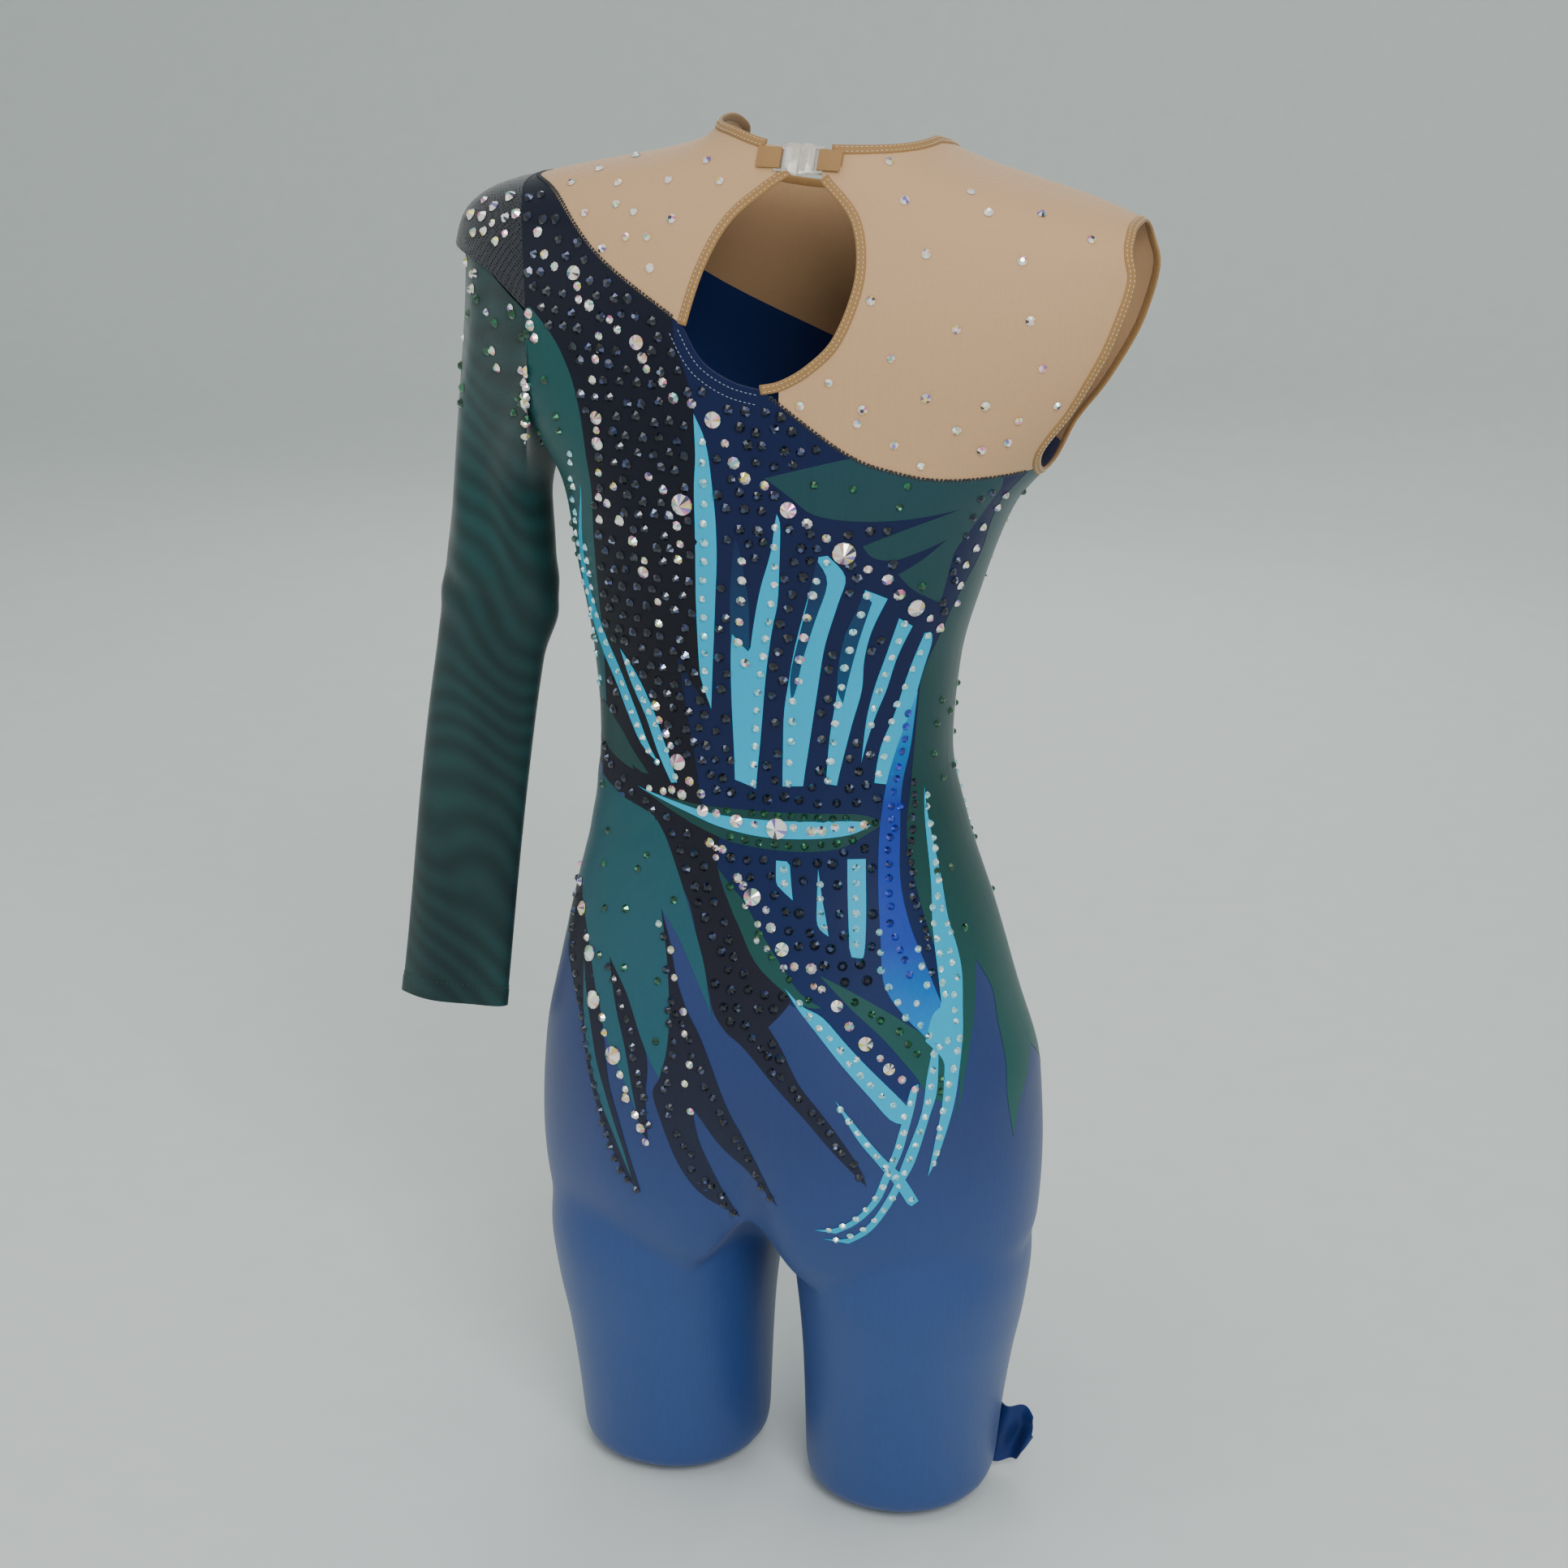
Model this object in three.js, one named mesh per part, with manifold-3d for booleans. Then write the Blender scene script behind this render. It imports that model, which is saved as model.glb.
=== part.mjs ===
// A one-sleeved rhythmic gymnastics unitard, held open in its worn shape.
// Millimetres, +Z up. The wearer faces -Y and the wearer's left is +X. The origin is the middle of the waist.
import * as THREE from 'three';
import { mergeVertices } from 'three/addons/utils/BufferGeometryUtils.js';
import Module from 'manifold-3d';

const wasm = await Module();
wasm.setup();

// Lengths down the body.
const thighLength = 166;
const waistToCrotch = 334;
const waistToUnderarm = 180;
const underarmToShoulder = 120;
const shoulderToNape = 50;

// Widths and depths of the worn shape. Depths are measured from the side seams.
const hipWidth = 324;
const highHipWidth = 291;
const waistWidth = 217;
const ribWidth = 244;
const underarmWidth = 310;
const shoulderWidth = 424;
const neckWidth = 124;
const seatDepth = 113;
const bellyDepth = 83;
const waistBackDepth = 70;
const waistFrontDepth = 78;
const bladeDepth = 95;
const bustDepth = 106;
const neckBackDepth = 60;
const neckFrontDepth = 61;
const crotchWidth = 236;
const thighWidth = 152;
const thighEndWidth = 124;
const thighEndDepth = 64;
const thighSpacing = 156;

// The wearer's stance: how far the waist and the neck lean to one side.
const waistLean = 14;
const neckLean = -13;

// Cloth, seams and trims.
const clothThickness = 1.2;
const seamGap = 0.3;
const bindingRadius = 2.2;
const facingWidth = 15;
const liningThickness = 1;
const turnUnderWidth = 24;
const gussetWidth = 60;
const gussetHeight = 60;

// The empty sleeve, which hangs outside the body.
const sleeveLength = 498;
const sleeveShoulderWidth = 56;
const sleeveElbowWidth = 78;
const sleeveCuffWidth = 75;
const sleeveShoulderDepth = 40;
const sleeveElbowDepth = 19;
const sleeveCuffDepth = 10;
const underarmClearance = 8;
const elbowClearance = 33;
const cuffClearance = 35;
const cuffHemHeight = 13;
const cuffHemExtra = 0.7;

// The loose piece of trouser leg at the outside of the right thigh.
const surplusLength = 54;
const surplusWidth = 21;
const surplusThickness = 2.4;
const surplusForward = 22;

// The clear clasp at the nape: its slope, then sizes across, up and through its plate.
const claspSlope = 28;
const claspHalfWidth = 14;
const claspHalfHeight = 9;
const claspThickness = 4;
const claspParting = 0.3;
const claspFloorHeight = 3;
const claspRunningGap = 0.3;
const railNeckLength = 1.9;
const railNeckThickness = 0.8;
const railHeadLength = 1.5;
const railHeadThickness = 2.2;
const barWidth = 2;
const barThickness = 2;
const eyeWidth = 3.5;
const tabReach = 10;
const tabHeight = 12;
const tabClothThickness = 1;

// Large flat-backed crystals.
const crystalHeightShare = 0.32;
const crystalTableShare = 0.3;
const crystalSides = 8;
const glueThickness = 0.35;

// Mesh fineness and the squareness of the cross-sections.
const aroundBody = 36;
const aroundThigh = 24;
const aroundSleeve = 24;
const bodySquareness = 2.3;
const thighSquareness = 2.1;
const sleeveSquareness = 2;
const openEndLength = 6;

const farAway = 500;

// Heights from the waist.
const crotchHeight = -waistToCrotch;
const legEndHeight = crotchHeight - thighLength;
const underarmHeight = waistToUnderarm;
const shoulderHeight = underarmHeight + underarmToShoulder;
const napeHeight = shoulderHeight + shoulderToNape;

const toCrotch = (share) => -waistToCrotch * share;
const toUnderarm = (share) => waistToUnderarm * share;
const toShoulder = (share) => underarmHeight + underarmToShoulder * share;
const toNape = (share) => shoulderHeight + shoulderToNape * share;
const upperHeight = (share) => underarmHeight + (napeHeight - underarmHeight) * share;

// Stations up the body: height, half width, lean, depth behind and depth in front.
const bodyStations = [
  [toCrotch(1), crotchWidth / 2, 0, seatDepth - 59, bellyDepth - 35],
  [toCrotch(0.93), hipWidth / 2 - 2, 0, seatDepth - 15, bellyDepth - 5],
  [toCrotch(0.8), hipWidth / 2, 0, seatDepth - 4, bellyDepth - 1],
  [toCrotch(0.61), hipWidth / 2 - 4, 0, seatDepth, bellyDepth + 1],
  [toCrotch(0.465), highHipWidth / 2, 3, seatDepth - 7, bellyDepth],
  [toCrotch(0.31), highHipWidth / 2 - 14, 6, seatDepth - 22, bellyDepth - 1],
  [toCrotch(0.155), waistWidth / 2 + 8, 10, waistBackDepth + 7, waistFrontDepth + 2],
  [0, waistWidth / 2, waistLean, waistBackDepth, waistFrontDepth],
  [toUnderarm(0.283), waistWidth / 2 + 3, waistLean, waistBackDepth + 6, waistFrontDepth + 6],
  [toUnderarm(0.567), ribWidth / 2, waistLean - 2, bladeDepth - 9, bustDepth - 9],
  [toUnderarm(0.844), ribWidth / 2 + 13, waistLean / 2, bladeDepth - 1, bustDepth],
  [toShoulder(0), underarmWidth / 2, 4, bladeDepth, bustDepth - 4],
  [toShoulder(0.283), underarmWidth / 2 + 29, 2, bladeDepth, bustDepth - 16],
  [toShoulder(0.567), shoulderWidth / 2 - 6, -1, bladeDepth - 1, bustDepth - 29],
  [toShoulder(0.8), shoulderWidth / 2 + 1, -3, bladeDepth - 5, neckFrontDepth + 7],
  [toNape(0), shoulderWidth / 2 - 1, -5, bladeDepth - 13, neckFrontDepth],
  [toNape(0.32), shoulderWidth / 2 - 16, -6, neckBackDepth + 15, neckFrontDepth - 3],
  [toNape(0.56), shoulderWidth / 2 - 48, -8, neckBackDepth + 9, neckFrontDepth - 3],
  [toNape(0.76), neckWidth / 2 + 60, -10, neckBackDepth + 6, neckFrontDepth - 1],
  [toNape(0.92), neckWidth / 2 + 26, -12, neckBackDepth + 2, neckFrontDepth],
  [toNape(1.12), neckWidth / 2 + 2, neckLean, neckBackDepth - 3, neckFrontDepth],
  [toNape(1.5), neckWidth / 2 - 5, neckLean - 3, neckBackDepth - 10, neckFrontDepth - 1],
];

// Stations up a thigh, in the same order, with the distance from the middle in place of the lean.
const thighStations = [
  [legEndHeight, thighEndWidth / 2, thighSpacing / 2 - 2, thighEndDepth, thighEndDepth - 3],
  [legEndHeight + 0.3 * thighLength, thighEndWidth / 2 + 3, thighSpacing / 2 - 1, 71, 65],
  [legEndHeight + 0.57 * thighLength, thighWidth / 2 - 7, thighSpacing / 2 + 1, 78, 70],
  [legEndHeight + 0.78 * thighLength, thighWidth / 2 - 2, thighSpacing / 2 + 2, 85, 74],
  [crotchHeight, thighWidth / 2 + 1, thighSpacing / 2 + 3, 91, 77],
  [toCrotch(0.87), thighWidth / 2 - 3, thighSpacing / 2 + 1, 84, 66],
];

// A smooth run through one column of a table of stations, which never overshoots them.
function smoothColumn(stations, column, height) {
  const at = stations.map((row) => row[0]);
  const values = stations.map((row) => row[column]);
  const z = Math.min(Math.max(height, at[0]), at[at.length - 1]);
  const i = Math.max(at.findIndex((value) => value >= z) - 1, 0);
  const steps = at.slice(1).map((value, k) => (values[k + 1] - values[k]) / (value - at[k]));
  const slope = (k) => {
    if (k === 0) return steps[0];
    if (k === at.length - 1) return steps[k - 1];
    const product = steps[k - 1] * steps[k];
    return product > 0 ? (2 * product) / (steps[k - 1] + steps[k]) : 0;
  };
  const run = at[i + 1] - at[i];
  const t = (z - at[i]) / run;
  return (2 * t ** 3 - 3 * t ** 2 + 1) * values[i]
    + (t ** 3 - 2 * t ** 2 + t) * run * slope(i)
    + (3 * t ** 2 - 2 * t ** 3) * values[i + 1]
    + (t ** 3 - t ** 2) * run * slope(i + 1);
}

function sectionOf(stations, height, inset) {
  const z = height + inset;
  return {
    halfWidth: smoothColumn(stations, 1, z) - inset,
    middle: smoothColumn(stations, 2, z),
    back: smoothColumn(stations, 3, z) - inset,
    front: smoothColumn(stations, 4, z) - inset,
  };
}

// A rounded-square section's place across and through at an angle, each from -1 to 1.
function roundedSquare(angle, squareness) {
  const c = Math.cos(angle);
  const s = Math.sin(angle);
  return [
    Math.sign(c) * Math.abs(c) ** (2 / squareness),
    Math.sign(s) * Math.abs(s) ** (2 / squareness),
  ];
}

// ---- Solids ----

function solidOf(geometry) {
  const bare = geometry.index ? geometry.toNonIndexed() : geometry.clone();
  bare.deleteAttribute('normal');
  bare.deleteAttribute('uv');
  const merged = mergeVertices(bare, 1e-4);
  return new wasm.Manifold(new wasm.Mesh({
    numProp: 3,
    vertProperties: new Float32Array(merged.attributes.position.array),
    triVerts: new Uint32Array(merged.index.array),
  }));
}

function geometryOf(solid) {
  const mesh = solid.getMesh();
  const places = new Float32Array(mesh.numVert * 3);
  for (let i = 0; i < mesh.numVert; i += 1) {
    places.set(mesh.vertProperties.subarray(i * mesh.numProp, i * mesh.numProp + 3), i * 3);
  }
  const geometry = new THREE.BufferGeometry();
  geometry.setAttribute('position', new THREE.BufferAttribute(places, 3));
  geometry.setIndex(new THREE.BufferAttribute(new Uint32Array(mesh.triVerts), 1));
  return geometry;
}

function boxSolid(low, high) {
  const size = high.map((value, i) => value - low[i]);
  const geometry = new THREE.BoxGeometry(...size);
  geometry.translate(...high.map((value, i) => (value + low[i]) / 2));
  return solidOf(geometry);
}

// A flat outline in X and Z, pushed from one Y to another.
function prismSolid(outline, lowY = -farAway, highY = farAway) {
  const geometry = new THREE.ExtrudeGeometry(new THREE.Shape(outline), {
    depth: highY - lowY,
    bevelEnabled: false,
  });
  geometry.rotateX(Math.PI / 2);
  geometry.translate(0, highY, 0);
  return solidOf(geometry);
}

function tubeSolid(points, radius) {
  const sides = 8;
  const ring = [];
  for (let i = 0; i < sides; i += 1) {
    const turn = (i / sides) * 2 * Math.PI;
    ring.push(new THREE.Vector2(radius * Math.cos(turn), radius * Math.sin(turn)));
  }
  return solidOf(new THREE.ExtrudeGeometry(new THREE.Shape(ring), {
    steps: points.length,
    bevelEnabled: false,
    extrudePath: new THREE.CatmullRomCurve3(points),
  }));
}

// A closed solid whose cross-section follows the stations. heightAt gives the height of each ring at
// each angle round the axis; its last argument says whether the point is the middle of an end.
function loftSolid({ stations, inset, rings, heightAt, around, squareness, side = 1 }) {
  const geometry = new THREE.CylinderGeometry(1, 1, 1, around, rings - 1);
  geometry.rotateX(Math.PI / 2);
  const places = geometry.attributes.position;
  for (let i = 0; i < places.count; i += 1) {
    const x = places.getX(i);
    const y = places.getY(i);
    const isMiddle = Math.hypot(x, y) < 0.5;
    const reach = isMiddle ? 0 : 1;
    const angle = Math.atan2(y, x);
    const ring = Math.round((places.getZ(i) + 0.5) * (rings - 1));
    const height = heightAt(ring, angle, isMiddle);
    const section = sectionOf(stations, height, inset);
    const [across, through] = roundedSquare(angle, squareness);
    const depth = through > 0 ? section.back : section.front;
    places.setXYZ(
      i,
      side * section.middle + reach * section.halfWidth * across,
      reach * depth * through,
      height,
    );
  }
  return solidOf(geometry);
}

// ---- The worn shape ----

// The neckline, as heights over the nape against the angle: it dips in front and rises at the sides.
const neckline = [
  [-Math.PI, 7],
  [-Math.PI * 0.75, -4],
  [-Math.PI * 0.5, -30],
  [-Math.PI * 0.25, -3],
  [0, 13],
  [Math.PI * 0.25, 12],
  [Math.PI * 0.5, 6],
  [Math.PI * 0.75, 6],
  [Math.PI, 7],
];
const necklineHeight = (angle) => napeHeight + smoothColumn(neckline, 1, angle);

// A ring at each station below the shoulder, and one half way to the next.
const lowRings = bodyStations
  .map((row) => row[0])
  .filter((height) => height < shoulderHeight)
  .flatMap((height, i) => [height, (height + bodyStations[i + 1][0]) / 2]);
const shoulderShares = [0, 0.2, 0.38, 0.54, 0.68, 0.8, 0.9, 1];

function bodySolid(inset) {
  const over = inset > 0 ? openEndLength : 0;
  return loftSolid({
    stations: bodyStations,
    inset,
    rings: lowRings.length + shoulderShares.length,
    heightAt: (ring, angle, isMiddle) => {
      if (ring === 0) return crotchHeight + inset;
      if (ring < lowRings.length) return lowRings[ring];
      const top = (isMiddle ? napeHeight : necklineHeight(angle)) + over;
      return shoulderHeight + (top - shoulderHeight) * shoulderShares[ring - lowRings.length];
    },
    around: aroundBody,
    squareness: bodySquareness,
  });
}

function thighSolid(side, inset) {
  const over = inset > 0 ? openEndLength : 0;
  return loftSolid({
    stations: thighStations,
    inset,
    rings: thighStations.length,
    heightAt: (ring) => (ring === 0 ? legEndHeight - over : thighStations[ring][0]),
    around: aroundThigh,
    squareness: thighSquareness,
    side,
  });
}

// The whole worn shape, drawn in from its outside by an inset.
function wornSolid(inset) {
  return bodySolid(inset).add(thighSolid(1, inset)).add(thighSolid(-1, inset));
}

const wall = wornSolid(0).subtract(wornSolid(clothThickness));
const liningInset = clothThickness + seamGap;
const liningWall = wornSolid(liningInset).subtract(wornSolid(liningInset + liningThickness));

const behind = boxSolid([-farAway, seamGap / 2, -farAway * 2], [farAway, farAway, farAway * 2]);
const before = boxSolid([-farAway, -farAway, -farAway * 2], [farAway, -seamGap / 2, farAway * 2]);

// A place on the back (side 1) or front (side -1), from its share of the half width and its height.
function onForm(share, height, inset, side = 1) {
  const section = sectionOf(bodyStations, height, inset);
  const kept = Math.sign(share) * Math.min(Math.abs(share), 1);
  const through = (1 - Math.abs(kept) ** bodySquareness) ** (1 / bodySquareness);
  const depth = side > 0 ? section.back : section.front;
  return new THREE.Vector3(section.middle + kept * section.halfWidth, side * depth * through, height);
}

function normalOn(share, height) {
  const step = 0.01;
  const across = onForm(share + step, height, 0).sub(onForm(share - step, height, 0));
  const up = onForm(share, height + 1, 0).sub(onForm(share, height - 1, 0));
  return up.cross(across).normalize();
}

// ---- Seam and edge lines, as [share of half width, share of upper height] ----

const backYokeSeam = [
  [1.02, 0.865], [0.77, 0.84], [0.46, 0.66], [0.2, 0.48], [-0.04, 0.29],
  [-0.34, 0.1], [-0.53, 0.04], [-0.73, 0.01], [-1.03, 0.02],
];
const frontYokeSeam = [
  [1.02, 0.865], [0.74, 0.78], [0.42, 0.5], [0.05, 0.28], [-0.4, 0.1], [-0.7, 0.04], [-1.03, 0.02],
];
const keyholeLeftEdge = [[-0.1, 0.96], [0.07, 0.92], [0.13, 0.82], [0.17, 0.67], [0.2, 0.48]];
const keyholeLowEdge = [[0.2, 0.48], [0.14, 0.37], [0.05, 0.31], [-0.04, 0.29]];
const keyholeRightEdge = [
  [-0.04, 0.29], [-0.1, 0.31], [-0.17, 0.37], [-0.23, 0.47], [-0.26, 0.65], [-0.25, 0.84], [-0.22, 0.94],
];
const rightArmEdge = [
  [-1, 0.82], [-0.94, 0.77], [-0.92, 0.65], [-0.9, 0.45], [-0.91, 0.25], [-0.93, 0.09], [-1, -0.02],
];
const leftArmEdge = [
  [1, 0.86], [0.81, 0.8], [0.72, 0.7], [0.68, 0.5], [0.74, 0.26], [0.83, 0.13], [1.02, -0.02],
];

// Where the cap's edge meets the top of the sleeve, as a share of the upper height.
const sleeveSeam = 0.63;
const capLowEdge = [[0.6, 0.43], [0.68, 0.47], [0.82, 0.58], [1, sleeveSeam], [1.1, 0.65]];

const corner = (x, z) => new THREE.Vector2(x, z);

function flatPoint([share, upShare]) {
  const height = upperHeight(upShare);
  const section = sectionOf(bodyStations, height, 0);
  return corner(section.middle + share * section.halfWidth, height);
}

function smoothLine(points, perSpan = 3) {
  return new THREE.SplineCurve(points.map(flatPoint)).getPoints((points.length - 1) * perSpan);
}

// The same line, lying in the middle of the cloth.
function lineInCloth(points, side = 1) {
  return smoothLine(points).map(({ x, y: height }) => {
    const section = sectionOf(bodyStations, height, 0);
    return onForm((x - section.middle) / section.halfWidth, height, clothThickness / 2, side);
  });
}

// Everything above a yoke seam, moved up by a lift.
function aboveSeam(seam, lift) {
  const line = smoothLine(seam);
  const outline = [
    corner(farAway, line[0].y),
    ...line,
    corner(-farAway, line[line.length - 1].y),
    corner(-farAway, farAway * 2),
    corner(farAway, farAway * 2),
  ];
  return prismSolid(outline.map((point) => point.clone().add(corner(0, lift))));
}

// Everything outside an arm edge and above the underarm, moved towards the middle of the body.
function outsideArm(edge, side, inward) {
  const line = smoothLine(edge);
  const outline = [
    corner(side * farAway, farAway),
    corner(line[0].x, farAway),
    ...line,
    corner(side * farAway, line[line.length - 1].y),
  ];
  return prismSolid(outline.map((point) => point.clone().sub(corner(side * inward, 0))));
}

// The keyhole's outline, made larger by a margin.
function keyholeSolid(margin) {
  const line = [
    ...smoothLine(keyholeLeftEdge).slice(0, -1),
    ...smoothLine(keyholeLowEdge).slice(0, -1),
    ...smoothLine(keyholeRightEdge),
  ];
  const middle = flatPoint([-0.04, 0.62]);
  const outline = line.map((point) => {
    const out = point.clone().sub(middle);
    return middle.clone().add(out.setLength(out.length() + margin));
  });
  return prismSolid(outline, 0, farAway);
}

// ---- Bindings ----

const clearRadius = bindingRadius + seamGap;

function necklinePath() {
  const start = Math.PI / 2 - 0.04;
  const turn = 2 * Math.PI - 0.08;
  const steps = 36;
  return Array.from({ length: steps + 1 }, (_, i) => {
    const angle = start - (i / steps) * turn;
    const wrapped = angle < -Math.PI ? angle + 2 * Math.PI : angle;
    const height = necklineHeight(wrapped);
    const section = sectionOf(bodyStations, height, clothThickness / 2);
    const [across, through] = roundedSquare(wrapped, bodySquareness);
    const depth = through > 0 ? section.back : section.front;
    return new THREE.Vector3(section.middle + section.halfWidth * across, depth * through, height);
  });
}

function armholePath() {
  const back = lineInCloth(rightArmEdge, 1);
  const front = lineInCloth(rightArmEdge, -1);
  const underarm = back[back.length - 1];
  const endGap = new THREE.Vector3(0, 1, 0);
  return [
    underarm.clone().add(endGap),
    ...back.slice(1, -1).reverse(),
    back[0],
    ...front.slice(1, -1),
    underarm.clone().sub(endGap),
  ];
}

const claspPlace = onForm(-0.06, napeHeight, clothThickness / 2);

// The room that the clasp and its two cloth tabs take at the nape.
function claspRoom() {
  const reach = claspHalfWidth + tabReach + seamGap;
  const geometry = new THREE.BoxGeometry(2 * reach, claspThickness * 5, 2 * claspHalfHeight + 6);
  geometry.rotateX(THREE.MathUtils.degToRad(claspSlope));
  geometry.translate(claspPlace.x, claspPlace.y, claspPlace.z);
  return solidOf(geometry);
}

const claspGap = claspRoom();
const aboveBackSeam = aboveSeam(backYokeSeam, seamGap / 2);
const belowBackSeam = aboveSeam(backYokeSeam, -seamGap / 2);

const neckBindingPath = necklinePath();
const keyholeLeftPath = lineInCloth([...keyholeLeftEdge, keyholeLowEdge[1]]);
const keyholeRightPath = lineInCloth([keyholeLowEdge[2], ...keyholeRightEdge]);
const armBindingPath = armholePath();

const neckBinding = tubeSolid(neckBindingPath, bindingRadius).subtract(claspGap);
const keyholeBindingLeft = tubeSolid(keyholeLeftPath, bindingRadius)
  .subtract(claspGap)
  .intersect(aboveBackSeam);
const keyholeBindingRight = tubeSolid(keyholeRightPath, bindingRadius)
  .subtract(claspGap)
  .intersect(aboveBackSeam);
const armholeBinding = tubeSolid(armBindingPath, bindingRadius);

const bindingRoom = tubeSolid(neckBindingPath, clearRadius)
  .add(tubeSolid(armBindingPath, clearRadius))
  .add(claspGap);
const keyholeBindingRoom = tubeSolid(keyholeLeftPath, clearRadius)
  .add(tubeSolid(keyholeRightPath, clearRadius))
  .intersect(aboveBackSeam);

// ---- Cloth panels ----

const openKeyhole = keyholeSolid(0);
// Cut on the inner side of the binding, so that no cloth is left outside it.
const rightArmhole = outsideArm(rightArmEdge, -1, clearRadius);
const leftArmhole = outsideArm(leftArmEdge, 1, seamGap / 2);

function backPanel() {
  return wall.intersect(behind)
    .subtract(belowBackSeam)
    .subtract(rightArmhole)
    .subtract(leftArmhole)
    .subtract(openKeyhole)
    .subtract(bindingRoom);
}

function frontPanel() {
  return wall.intersect(before)
    .subtract(aboveSeam(frontYokeSeam, -seamGap / 2))
    .subtract(rightArmhole)
    .subtract(leftArmhole)
    .subtract(bindingRoom);
}

// The back yoke is two pieces, which part at the keyhole and the clasp.
function backYoke(side) {
  const lowX = flatPoint(keyholeRightEdge[0]).x + side * 2 * clearRadius;
  const outline = [
    corner(lowX, 0),
    corner(lowX, upperHeight(0.7)),
    corner(claspPlace.x, napeHeight - claspHalfHeight),
    corner(claspPlace.x, farAway * 2),
    corner(side * farAway, farAway * 2),
    corner(side * farAway, 0),
  ];
  return wall.intersect(behind)
    .intersect(aboveBackSeam)
    .intersect(prismSolid(outline))
    .subtract(rightArmhole)
    .subtract(leftArmhole)
    .subtract(openKeyhole)
    .subtract(bindingRoom)
    .subtract(keyholeBindingRoom);
}

function frontYoke() {
  return wall.intersect(before)
    .intersect(aboveSeam(frontYokeSeam, seamGap / 2))
    .subtract(rightArmhole)
    .subtract(leftArmhole)
    .subtract(bindingRoom);
}

function shoulderCap() {
  const line = smoothLine(capLowEdge);
  const outline = [
    ...line,
    corner(farAway, line[line.length - 1].y),
    corner(farAway, farAway),
    corner(line[0].x, farAway),
  ];
  return wall.intersect(outsideArm(leftArmEdge, 1, -seamGap / 2)).intersect(prismSolid(outline));
}

function keyholeFacing() {
  return liningWall.intersect(behind)
    .intersect(keyholeSolid(facingWidth))
    .subtract(openKeyhole)
    .subtract(aboveSeam(backYokeSeam, -bindingRadius - seamGap));
}

function frontLining() {
  const line = boxSolid(
    [-ribWidth / 2, -farAway, toUnderarm(0.55)],
    [ribWidth / 2, -seamGap, toUnderarm(0.96)],
  );
  return liningWall.intersect(line);
}

function gussetLining() {
  return liningWall.intersect(boxSolid(
    [-gussetWidth / 2, -gussetWidth / 2, crotchHeight - gussetHeight * 0.6],
    [gussetWidth / 2, gussetWidth / 2, crotchHeight + gussetHeight * 0.4],
  ));
}

// The trouser leg's cloth, folded in under the end of the thigh.
function turnedEdge(side) {
  const ringOf = (inset, over) => loftSolid({
    stations: thighStations,
    inset,
    rings: 2,
    heightAt: (ring) => legEndHeight - seamGap + (ring === 0 ? -clothThickness - over : over),
    around: aroundThigh,
    squareness: thighSquareness,
    side,
  });
  return ringOf(clothThickness / 2, 0).subtract(ringOf(turnUnderWidth, 1));
}

function legSurplus() {
  const outside = -thighSpacing / 2 - thighEndWidth / 2;
  const outline = [
    corner(outside + surplusWidth, legEndHeight + surplusLength),
    corner(outside, legEndHeight + surplusLength),
    corner(outside - surplusWidth, legEndHeight + surplusLength - 12),
    corner(outside - surplusWidth * 0.4, legEndHeight + surplusLength * 0.35),
    corner(outside + surplusWidth * 0.1, legEndHeight),
    corner(outside + surplusWidth, legEndHeight),
  ];
  const backY = -surplusForward + surplusThickness / 2;
  return prismSolid(outline, backY - surplusThickness, backY).subtract(thighSolid(-1, -seamGap));
}

// ---- The sleeve ----

const sleeveTopHeight = upperHeight(sleeveSeam) - seamGap;
const sleeveArmpitHeight = upperHeight(0.12);
const sleeveEndHeight = sleeveTopHeight - sleeveLength;
const capSection = sectionOf(bodyStations, sleeveTopHeight, 0);
const sleeveTopX = capSection.middle + capSection.halfWidth - sleeveShoulderWidth / 2;
const elbowX = ribWidth / 2 + elbowClearance + sleeveElbowWidth / 2;
const underarmX = underarmWidth / 2 + underarmClearance + sleeveShoulderWidth / 2;
const cuffX = hipWidth / 2 + cuffClearance + sleeveCuffWidth / 2;
const alongSleeve = (share) => sleeveEndHeight + sleeveLength * share;

const sleeveStations = [
  [sleeveEndHeight, sleeveCuffWidth / 2, cuffX, sleeveCuffDepth, sleeveCuffDepth],
  [alongSleeve(0.32), sleeveCuffWidth / 2 - 1, cuffX - 20, sleeveCuffDepth + 4, sleeveCuffDepth + 4],
  [alongSleeve(0.48), sleeveElbowWidth / 2 - 3, elbowX + 8, sleeveElbowDepth - 2, sleeveElbowDepth - 2],
  [alongSleeve(0.55), sleeveElbowWidth / 2, elbowX, sleeveElbowDepth, sleeveElbowDepth],
  [alongSleeve(0.62), sleeveElbowWidth / 2 - 4, elbowX - 2, sleeveElbowDepth + 3, sleeveElbowDepth + 3],
  [alongSleeve(0.73), sleeveShoulderWidth / 2, underarmX - 1, 28, 28],
  [toShoulder(-0.04), sleeveShoulderWidth / 2, underarmX, 32, 32],
  [sleeveArmpitHeight, sleeveShoulderWidth / 2, underarmX - 4, 34, 34],
  [sleeveTopHeight, sleeveShoulderWidth / 2, sleeveTopX, sleeveShoulderDepth, sleeveShoulderDepth],
];

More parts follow.
